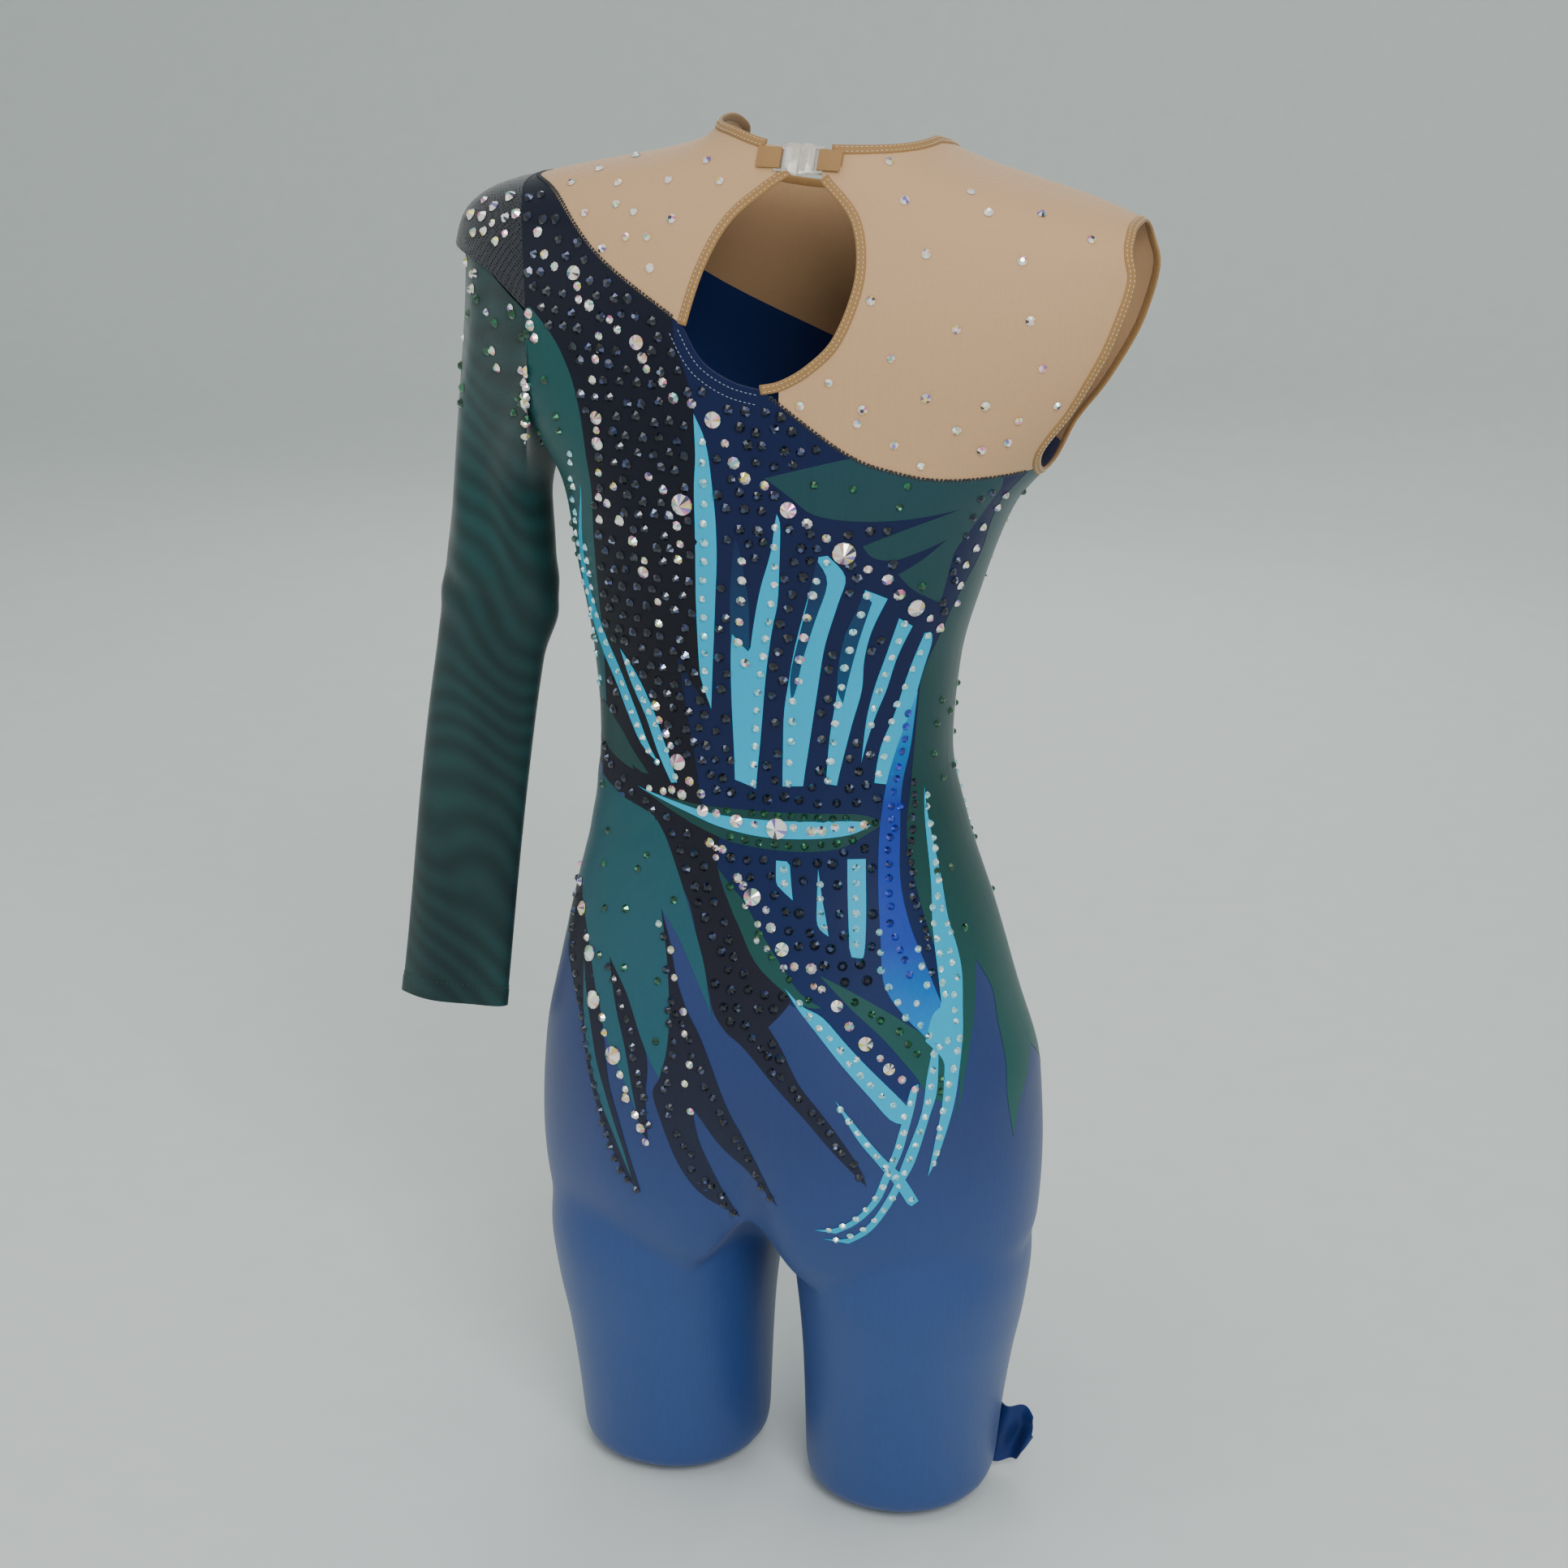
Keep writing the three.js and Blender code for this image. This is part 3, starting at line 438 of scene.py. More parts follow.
# warp-knit nylon with elastane, calendered: a satin face with a soft broad shine
satinKnit = clothMaterial("calendered nylon elastane knit", alongHeight(
    [(0.0, "#2a4680"), (0.35, "#2c4983"), (0.6, "#27407a"), (0.78, "#22366c"), (1.0, "#22356b")],
    -500, -120), roughness=0.44, sheen=0.06, specular=0.42)
# the same knit printed by sublimation: the ink lies in the cloth, so only the colour changes
navyInk = clothMaterial("navy sublimation print", alongHeight(
    [(0.0, "#22346a"), (0.4, "#182650"), (1.0, "#161f45")], -210, 60), sheen=0.02, specular=0.16)
charcoalInk = clothMaterial("charcoal sublimation print", alongHeight(
    [(0.0, "#2b3046"), (0.3, "#20202c"), (0.6, "#15151f"), (1.0, "#141829")], -290, 330), sheen=0.02,
    specular=0.16)
tealInk = clothMaterial("teal sublimation print", alongHeight(
    [(0.0, "#255a6a"), (0.5, "#174f57"), (1.0, "#194e4f")], -200, 240), sheen=0.04, specular=0.25)
greenInk = clothMaterial("bottle green sublimation print", alongHeight(
    [(0.0, "#205957"), (0.5, "#173f3d"), (1.0, "#1c424a")], -240, 200), sheen=0.04, specular=0.25)
aquaInk = clothMaterial("aqua sublimation print", plainColor("#00aed8"), sheen=0.0, specular=0.2,
                        contrast=(0.93, 1.06))
royalInk = clothMaterial("royal blue sublimation print", alongHeight(
    [(0.0, "#00a6dc"), (0.16, "#1077c4"), (0.34, "#2242a4"), (0.7, "#203898"), (1.0, "#0a98d4")], -168, 60),
    sheen=0.0, specular=0.2)
fadeInk = clothMaterial("dark teal airbrushed print", alongHeight(
    [(0.0, "#0c7694"), (0.5, "#16456a"), (1.0, "#16244c")], -20, 150), sheen=0.0, specular=0.2)
# stretch power mesh, dyed to skin: matt, with open loops too fine to see through
nudeMesh = clothMaterial("dyed nylon power mesh", plainColor("#c8a078"), roughness=0.75, sheen=0.15,
                         specular=0.2, pitch=1.0, bump=0.3, contrast=(0.95, 1.04))
# the same mesh cut in strips and folded twice: denser, so darker and more ribbed
nudeBinding = clothMaterial("folded nylon binding", plainColor("#a07a4e"), roughness=0.7, sheen=0.15,
                            specular=0.2, pitch=0.8, bump=0.5, contrast=(0.9, 1.08))
# knit with a brushed face: pale, matt and slightly furry
liningCloth = clothMaterial("brushed nylon lining", plainColor("#cbb18c"), roughness=0.85, sheen=0.4,
                            specular=0.2, pitch=0.9, bump=0.4)


def moireMesh():
    # two layers of green power mesh: their grids beat against each other in long wavy bands
    material, tree = newMaterial("bottle green nylon power mesh")
    loops = knit(tree, 1.1)
    bent = place(tree, scale=(1, 1, 0.45), turn=(0, 0.25, 0))
    wobble = addNode(tree, "ShaderNodeTexNoise", {"Scale": 1 / (77 * mm), "Detail": 1.0},
                     {"Vector": bent.outputs[0]})
    pulled = addNode(tree, "ShaderNodeMix", {"data_type": "RGBA", "blend_type": "ADD", "Factor": 0.055},
                      {6: bent.outputs[0], 7: wobble.outputs["Color"]})
    bands = addNode(tree, "ShaderNodeTexWave",
                    {"wave_type": "BANDS", "bands_direction": "Z", "Scale": waveUnit / (9.235 * mm),
                     "Distortion": 3.2, "Detail": 1.0, "Detail Scale": 0.5}, {"Vector": pulled.outputs[2]})
    patches = addNode(tree, "ShaderNodeTexNoise", {"Scale": 1 / (62.5 * mm), "Detail": 2.0},
                      {"Vector": place(tree, scale=(1, 1, 0.25)).outputs[0]})
    tone = addNode(tree, "ShaderNodeValToRGB", links={"Fac": patches.outputs["Fac"]},
                   stops=[(0.32, "#0b2628"), (0.55, "#123536"), (0.75, "#1a4546")])
    shaded = tinted(tree, tone.outputs[0], bands.outputs["Fac"], 0.76, 1.28)
    shaded = tinted(tree, shaded.outputs[2], loops.outputs[0], 0.85, 1.12)
    height = addNode(tree, "ShaderNodeBump", {"Strength": 0.25, "Distance": 0.3 * mm},
                     {"Height": loops.outputs[0]})
    shader = addNode(tree, "ShaderNodeBsdfPrincipled",
                     {"Roughness": 0.6, "Sheen Weight": 0.35, "Sheen Roughness": 0.4,
                      "Specular IOR Level": 0.3},
                     {"Base Color": shaded.outputs[2], "Normal": height.outputs[0]})
    closeMaterial(tree, shader)
    return material


def openMesh():
    # black power mesh with holes of about a millimetre, which show what lies behind
    material, tree = newMaterial("black nylon open mesh")
    at = place(tree, turn=(0, 0.6, 0))
    cells = addNode(tree, "ShaderNodeTexVoronoi", {"feature": "DISTANCE_TO_EDGE", "Scale": 1 / (1.7 * mm),
                                                   "Randomness": 0.25}, {"Vector": at.outputs[0]})
    thread = addNode(tree, "ShaderNodeValToRGB", links={"Fac": cells.outputs["Distance"]},
                     stops=[(0.16, "#ffffff"), (0.30, "#5c5c5c")])
    shade = addNode(tree, "ShaderNodeValToRGB", links={"Fac": cells.outputs["Distance"]},
                    stops=[(0.0, "#20232d"), (0.4, "#101218")])
    shader = addNode(tree, "ShaderNodeBsdfPrincipled",
                     {"Roughness": 0.65, "Sheen Weight": 0.3, "Specular IOR Level": 0.3},
                     {"Base Color": shade.outputs[0], "Alpha": thread.outputs[0]})
    closeMaterial(tree, shader)
    return material


def threadMaterial(name, code):    # spun polyester thread: a twist of fine plies, slightly shiny
    material, tree = newMaterial(name)
    twist = addNode(tree, "ShaderNodeTexWave", {"wave_type": "BANDS", "bands_direction": "DIAGONAL",
                                                "Scale": waveUnit / (0.5 * mm)},
                    {"Vector": place(tree).outputs[0]})
    shaded = tinted(tree, linear(code), twist.outputs["Fac"], 0.7, 1.15)
    shader = addNode(tree, "ShaderNodeBsdfPrincipled", {"Roughness": 0.55, "Sheen Weight": 0.2},
                     {"Base Color": shaded.outputs[2]})
    closeMaterial(tree, shader)
    return material


def clearPlastic():
    # injection-moulded polycarbonate: clear, with faint flow lines and soft edges
    material, tree = newMaterial("moulded clear polycarbonate")
    flow = addNode(tree, "ShaderNodeTexNoise", {"Scale": 1 / (3.85 * mm), "Detail": 2.0, "Distortion": 0.5},
                   {"Vector": place(tree).outputs[0]})
    color = addNode(tree, "ShaderNodeValToRGB", links={"Fac": flow.outputs["Fac"]},
                    stops=[(0.3, "#f3e9dc"), (0.7, "#fffaf2")])
    height = addNode(tree, "ShaderNodeBump", {"Strength": 0.2, "Distance": 0.15 * mm},
                     {"Height": flow.outputs["Fac"]})
    shader = addNode(tree, "ShaderNodeBsdfPrincipled",
                     {"Roughness": 0.12, "IOR": 1.58, "Transmission Weight": 0.6, "Alpha": 0.85},
                     {"Base Color": color.outputs[0], "Normal": height.outputs[0]})
    closeMaterial(tree, shader)
    return material


greenMesh = moireMesh()
blackMesh = openMesh()
tanThread = threadMaterial("tan spun polyester thread", "#d8bd92")
blackThread = threadMaterial("black spun polyester thread", "#11131c")
greyThread = threadMaterial("grey blue spun polyester thread", "#8c98b4")
greenThread = threadMaterial("green spun polyester thread", "#14302f")
plastic = clearPlastic()
# a thin metal oxide coat turns white light to pinks, yellows and blues, fixed on each facet; the near-white
# facets are painted glints and the dark grey facet a painted reflection
oxideCoatCrystalWithPaintedGlints = glassWithPaintedFacets("oxide coated crystal glass", [
    (0.0, "#fdf6f2"), (0.12, "#e88ab4"), (0.24, "#fdfcf4"), (0.36, "#e6d76a"), (0.46, "#8fcfc4"),
    (0.56, "#fff8f4"), (0.68, "#8a74c8"), (0.76, "#f2c4a8"), (0.86, "#4c4a5c"), (0.94, "#c8e6a4")])
# the same stones in coloured glass: mostly their own depth of colour, with one facet in ten painted bright as
# a glint
darkGlass = glassWithPaintedFacets("midnight blue foiled glass", [
    (0.0, "#131a2c"), (0.3, "#0c1020"), (0.55, "#243056"), (0.7, "#0a0c14"), (0.86, "#3d4a78"),
    (0.95, "#8f9cc0")])
# pale aqua glass: the white and near-white facets are painted glints, the deep teal facet a painted
# reflection
aquaGlass = glassWithPaintedFacets("pale aqua foiled glass", [
    (0.0, "#a5e6f0"), (0.25, "#e9fbfb"), (0.45, "#58bcd0"), (0.62, "#ffffff"), (0.8, "#8fd8d6"),
    (0.93, "#3b7f92")], metallic=0.45)
# the palest facet colour is a painted glint
emeraldGlass = glassWithPaintedFacets("emerald foiled glass", [
    (0.0, "#0c4a2c"), (0.3, "#06301c"), (0.55, "#14764a"), (0.75, "#083820"), (0.93, "#5fc493")])
# the palest facet colour is a painted glint
cobaltGlass = glassWithPaintedFacets("cobalt foiled glass", [
    (0.0, "#1c33b4"), (0.3, "#101f78"), (0.55, "#2c49de"), (0.75, "#12206c"), (0.93, "#8f9ff0")])
print("materials made")


# The worn shape, as one smooth closed form to lay cloth on

def torsoPlace(u, v):
    low, high = wornShape["rows"][0][0], wornShape["rows"][-1][0]
    z = low + (high - low) * v
    return sectionPlace(bodyTable, wornShape["bodySquareness"], 2 * math.pi * u, z)


def thighPlace(side):
    def placeAt(u, v):
        low, high = wornShape["thighRows"][0][0], wornShape["thighRows"][-1][0]
        rounding = wornShape["endRounding"]
        share = wornShape["endShare"]
        bend = min(v / share, 1) * math.pi / 2
        inset = rounding * (1 - math.sin(bend))
        z = low + rounding * (1 - math.cos(bend)) + (high - low - rounding) * max(v - share, 0) / (1 - share)
        return sectionPlace(thighTable, wornShape["thighSquareness"], 2 * math.pi * u, z, inset, side)
    return placeAt


def easeBetween(value, low, high):
    t = min(max((value - low) / (high - low), 0), 1)
    return t * t * (3 - 2 * t)


def shapeSeat(co):    # the seat's two rounds, the notch between the thighs, and the hip's creases
    x, y, z = co / mm
    shift = Vector()
    if y > 0:
        level = max(1 - abs((z + 262) / 85), 0)
        level = level * level * (3 - 2 * level)
        shift.y += level * (3.0 * math.exp(-((abs(x) - 75) / 40) ** 2) - 8.5 * math.exp(-(x / 20) ** 2))
        notch = easeBetween(-z, 235, 318) * (1 - easeBetween(-z, 345, 450))
        shift.z += 40 * notch * easeBetween(y, 15, 75) * math.exp(-(x / 24) ** 2)
        creased = easeBetween(x, 52, 80) * easeBetween(z, -95, -60) * (1 - easeBetween(z, -35, 0))
        shift.y += 0.9 * creased * math.sin((z + 0.75 * x) / 4.2)
    return shift * mm


def makeForm():
    bm = gridSheet(84, 110, torsoPlace, closed=True)
    for side in (1, -1):
        thigh = gridSheet(56, 60, thighPlace(side), closed=True)
        mesh = bpy.data.meshes.new("thigh")
        thigh.to_mesh(mesh)
        thigh.free()
        bm.from_mesh(mesh)
        bpy.data.meshes.remove(mesh)
    bmesh.ops.holes_fill(bm, edges=bm.edges, sides=0)
    bmesh.ops.recalc_face_normals(bm, faces=bm.faces)
    scratch = finishPiece("form", bm, [], body=None)
    remesh = scratch.modifiers.new("Voxels", "REMESH")
    remesh.mode = "VOXEL"
    remesh.voxel_size = wornShape["voxel"] * mm
    applyModifiers(scratch)
    bm = bmesh.new()
    bm.from_mesh(scratch.data)
    mesh = scratch.data
    bpy.data.objects.remove(scratch)
    bpy.data.meshes.remove(mesh)
    for rounds, bend in ((wornShape["smoothings"], False), (3, True)):
        if bend:
            for vert in bm.verts:
                vert.co += shapeSeat(vert.co)
        for _ in range(rounds):
            bmesh.ops.smooth_vert(bm, verts=bm.verts, factor=0.5, use_axis_x=True, use_axis_y=True,
                                  use_axis_z=True)
    bm.normal_update()
    return bm


form = makeForm()
formTree = BVHTree.FromBMesh(form)
print("worn shape made,", len(form.verts), "points")


def onForm(turn, z, lift=0.0):
    # turn is degrees round the body from the middle of the back, positive to the wearer's left
    middle = readTable(bodyTable, z)[1]
    target = sectionPlace(bodyTable, wornShape["bodySquareness"], math.radians(90 - turn), z)
    start = Vector((middle * mm, 0, z * mm))
    hit, normal = formTree.ray_cast(start, target - start)[:2]
    if hit is None:
        hit, normal = formTree.find_nearest(target)[:2]
    return hit + normal * lift, normal


def turnAt(x, z):                  # the turn of a point seen from straight behind
    halfWidth, middle = readTable(bodyTable, z)[:2]
    share = (x - middle) / halfWidth
    size = min(abs(share), 1) ** (wornShape["bodySquareness"] / 2)
    return math.copysign(math.degrees(math.asin(size)), share)


def smoothNormal(point):           # the form's normal, averaged over its neighbourhood
    hit, normal = formTree.find_nearest(point)[:2]
    total = Vector(normal)
    for offset in ((4, 0, 0), (-4, 0, 0), (0, 0, 4), (0, 0, -4), (0, 4, 0), (0, -4, 0)):
        total += formTree.find_nearest(hit + Vector(offset) * mm)[1]
    return hit, total.normalized()


# Cutting the cloth panels from the form

def aboveSeam(name):               # everything above a yoke seam
    line = [tuple(p) for p in edgeLine(name)]
    return [(400, line[0][1])] + line + [(-400, line[-1][1]), (-400, 600), (400, 600)]


def outsideArm(name, side):        # everything beyond an armhole's edge, above the underarm
    line = [tuple(p) for p in edgeLine(name)]
    return [(side * 400, 500), (line[0][0], 500)] + line + [(side * 400, line[-1][1])]


def keyholeOutline():
    names = ("keyholeLeft", "keyholeLow", "keyholeRight")
    lines = [edgeLine(name) for name in names]
    return [tuple(p) for line in lines for p in line[:-1]] + [tuple(lines[-1][-1])]


def belowNeckline(co):
    co = np.asarray(co, float)
    gaps = []
    for x, y, z in co / mm:
        if z < 300:
            gaps.append(1.0)
            continue
        halfWidth, middle, back, front = readTable(bodyTable, z)
        across = (x - middle) / halfWidth
        through = y / (back if y > 0 else front)
        power = wornShape["bodySquareness"] / 2
        angle = math.degrees(math.atan2(math.copysign(abs(through) ** power, through),
                                        math.copysign(abs(across) ** power, across)))
        gaps.append((readTable(necklineTable, angle)[0] - z) * mm)
    return np.array(gaps)


def sideHalf(side):                # the back (1) or front (-1) of the form, up to the side seams
    bm = form.copy()
    snip(bm, lambda co: np.asarray(co)[:, 1], side)
    return bm


def bottomHole(co):                # inside the ring of cloth turned in under each leg's end
    co = np.asarray(co, float) / mm
    halfWidth, middle, back = readTable(thighTable, wornShape["legEnd"])[:3]
    turned = clothPieces["turnedWidth"]
    x = np.abs(co[:, 0]) - middle
    reach = np.hypot(x / (halfWidth - turned), co[:, 1] / (back - turned))
    low = co[:, 2] < wornShape["legEnd"] + 3
    return np.where(low, reach - 1, 1.0)


areas = {
    "yokeBack": outlineDistance(aboveSeam("yokeBack")),
    "yokeFront": outlineDistance(aboveSeam("yokeFront")),
    "rightArm": outlineDistance(outsideArm("rightArm", -1)),
    "leftArm": outlineDistance(outsideArm("leftArm", 1)),
    "keyhole": outlineDistance(keyholeOutline()),
}
capLine = [tuple(p) for p in edgeLine("capLow")]
areas["cap"] = outlineDistance(capLine + [(400, capLine[-1][1]), (400, 500), (capLine[0][0], 500)])

clothPieces = {
    "thickness": 0.8,
    "turnedHeight": 1.6,           # how far up the rounded leg end the turned-in cloth reaches
    "turnedWidth": 24,             # and how far in under it
    "claspHalf": 13,               # cloth stops this far either side of the clasp's middle
}

claspMiddle = Vector([(a + b) / 2 for a, b in zip(*[
    [sum(pair) / 2 for pair in zip(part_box("clasp_hook")[k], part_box("clasp_catch")[k])] for k in (0, 1)])])


def aroundClasp(co):               # the space at the nape that the clasp takes
    co = np.asarray(co, float)
    x = np.abs(co[:, 0] - claspMiddle.x) - clothPieces["claspHalf"] * mm
    z = 0.335 - co[:, 2]
    return np.where(co[:, 1] > 0, np.maximum(x, z), 1.0)


def makePanel(name, side, cuts, material, node):
    bm = sideHalf(side)
    snip(bm, belowNeckline, 1)
    snip(bm, bottomHole, 1)
    for distance, keep in cuts:
        snip(bm, distance, keep)
    dropCrumbs(bm)
    obj = finishPiece(name, bm, material)
    thicken(obj, clothPieces["thickness"])
    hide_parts(node)
    print(name, "cut,", len(obj.data.polygons), "faces")
    return obj


def legEndAbove(co):
    return np.asarray(co)[:, 2] - (wornShape["legEnd"] + clothPieces["turnedHeight"]) * mm


def legSide(side):
    return lambda co: np.asarray(co)[:, 0] * side


def leftOfClasp(co):
    return np.asarray(co)[:, 0] - claspMiddle.x


backPanel = makePanel("back_cloth", 1, [(areas["yokeBack"], -1), (areas["rightArm"], -1),
                                        (areas["leftArm"], -1), (areas["keyhole"], -1),
                                        (legEndAbove, 1)], satinKnit, "back_panel")
frontPanel = makePanel("front_cloth", -1, [(areas["yokeFront"], -1), (areas["rightArm"], -1),
                                           (areas["leftArm"], -1), (legEndAbove, 1)],
                       satinKnit, "front_panel")
yokeCuts = [(areas["yokeBack"], 1), (areas["rightArm"], -1), (areas["leftArm"], -1),
            (areas["keyhole"], -1), (aroundClasp, 1)]
yokeBackLeft = makePanel("back_yoke_left", 1, yokeCuts + [(leftOfClasp, 1)], nudeMesh, "yoke_back_left")
yokeBackRight = makePanel("back_yoke_right", 1, yokeCuts + [(leftOfClasp, -1)], nudeMesh, "yoke_back_right")
yokeFront = makePanel("front_yoke", -1, [(areas["yokeFront"], 1), (areas["rightArm"], -1),
                                         (areas["leftArm"], -1)], nudeMesh, "yoke_front")


def makeTurnedEdge(name, side):    # the leg's cloth, turned in under the end of the thigh
    bm = form.copy()
    snip(bm, bottomHole, 1)
    snip(bm, legEndAbove, -1)
    snip(bm, legSide(side), 1)
    dropCrumbs(bm)
    obj = finishPiece(name, bm, satinKnit)
    thicken(obj, clothPieces["thickness"])
    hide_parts(f"leg_{'left' if side > 0 else 'right'}_turned_edge")
    declareSheet(obj, "small")


makeTurnedEdge("left_leg_turn_in", 1)
makeTurnedEdge("right_leg_turn_in", -1)


def capRise(x):                    # 0 at the cap's seam, 1 at the point of the shoulder
    return min(max((x - 0.150) / 0.05, 0), 1)


def makeCap():                     # see-through cloth over the point of the left shoulder
    bm = form.copy()
    for distance, keep in ((areas["leftArm"], 1), (areas["cap"], 1)):
        snip(bm, distance, keep)
    dropCrumbs(bm)
    for vert in bm.verts:          # it stands a little fuller than the shoulder
        vert.co += smoothNormal(vert.co)[1] * 2.5 * mm * capRise(vert.co.x)
    obj = finishPiece("shoulder_cap_cloth", bm, blackMesh)
    thicken(obj, 0.7)
    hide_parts("shoulder_cap")
    declareSheet(obj, "small")


makeCap()
print("panels cut")


# Printed shapes: thin films of ink laid on the cloth

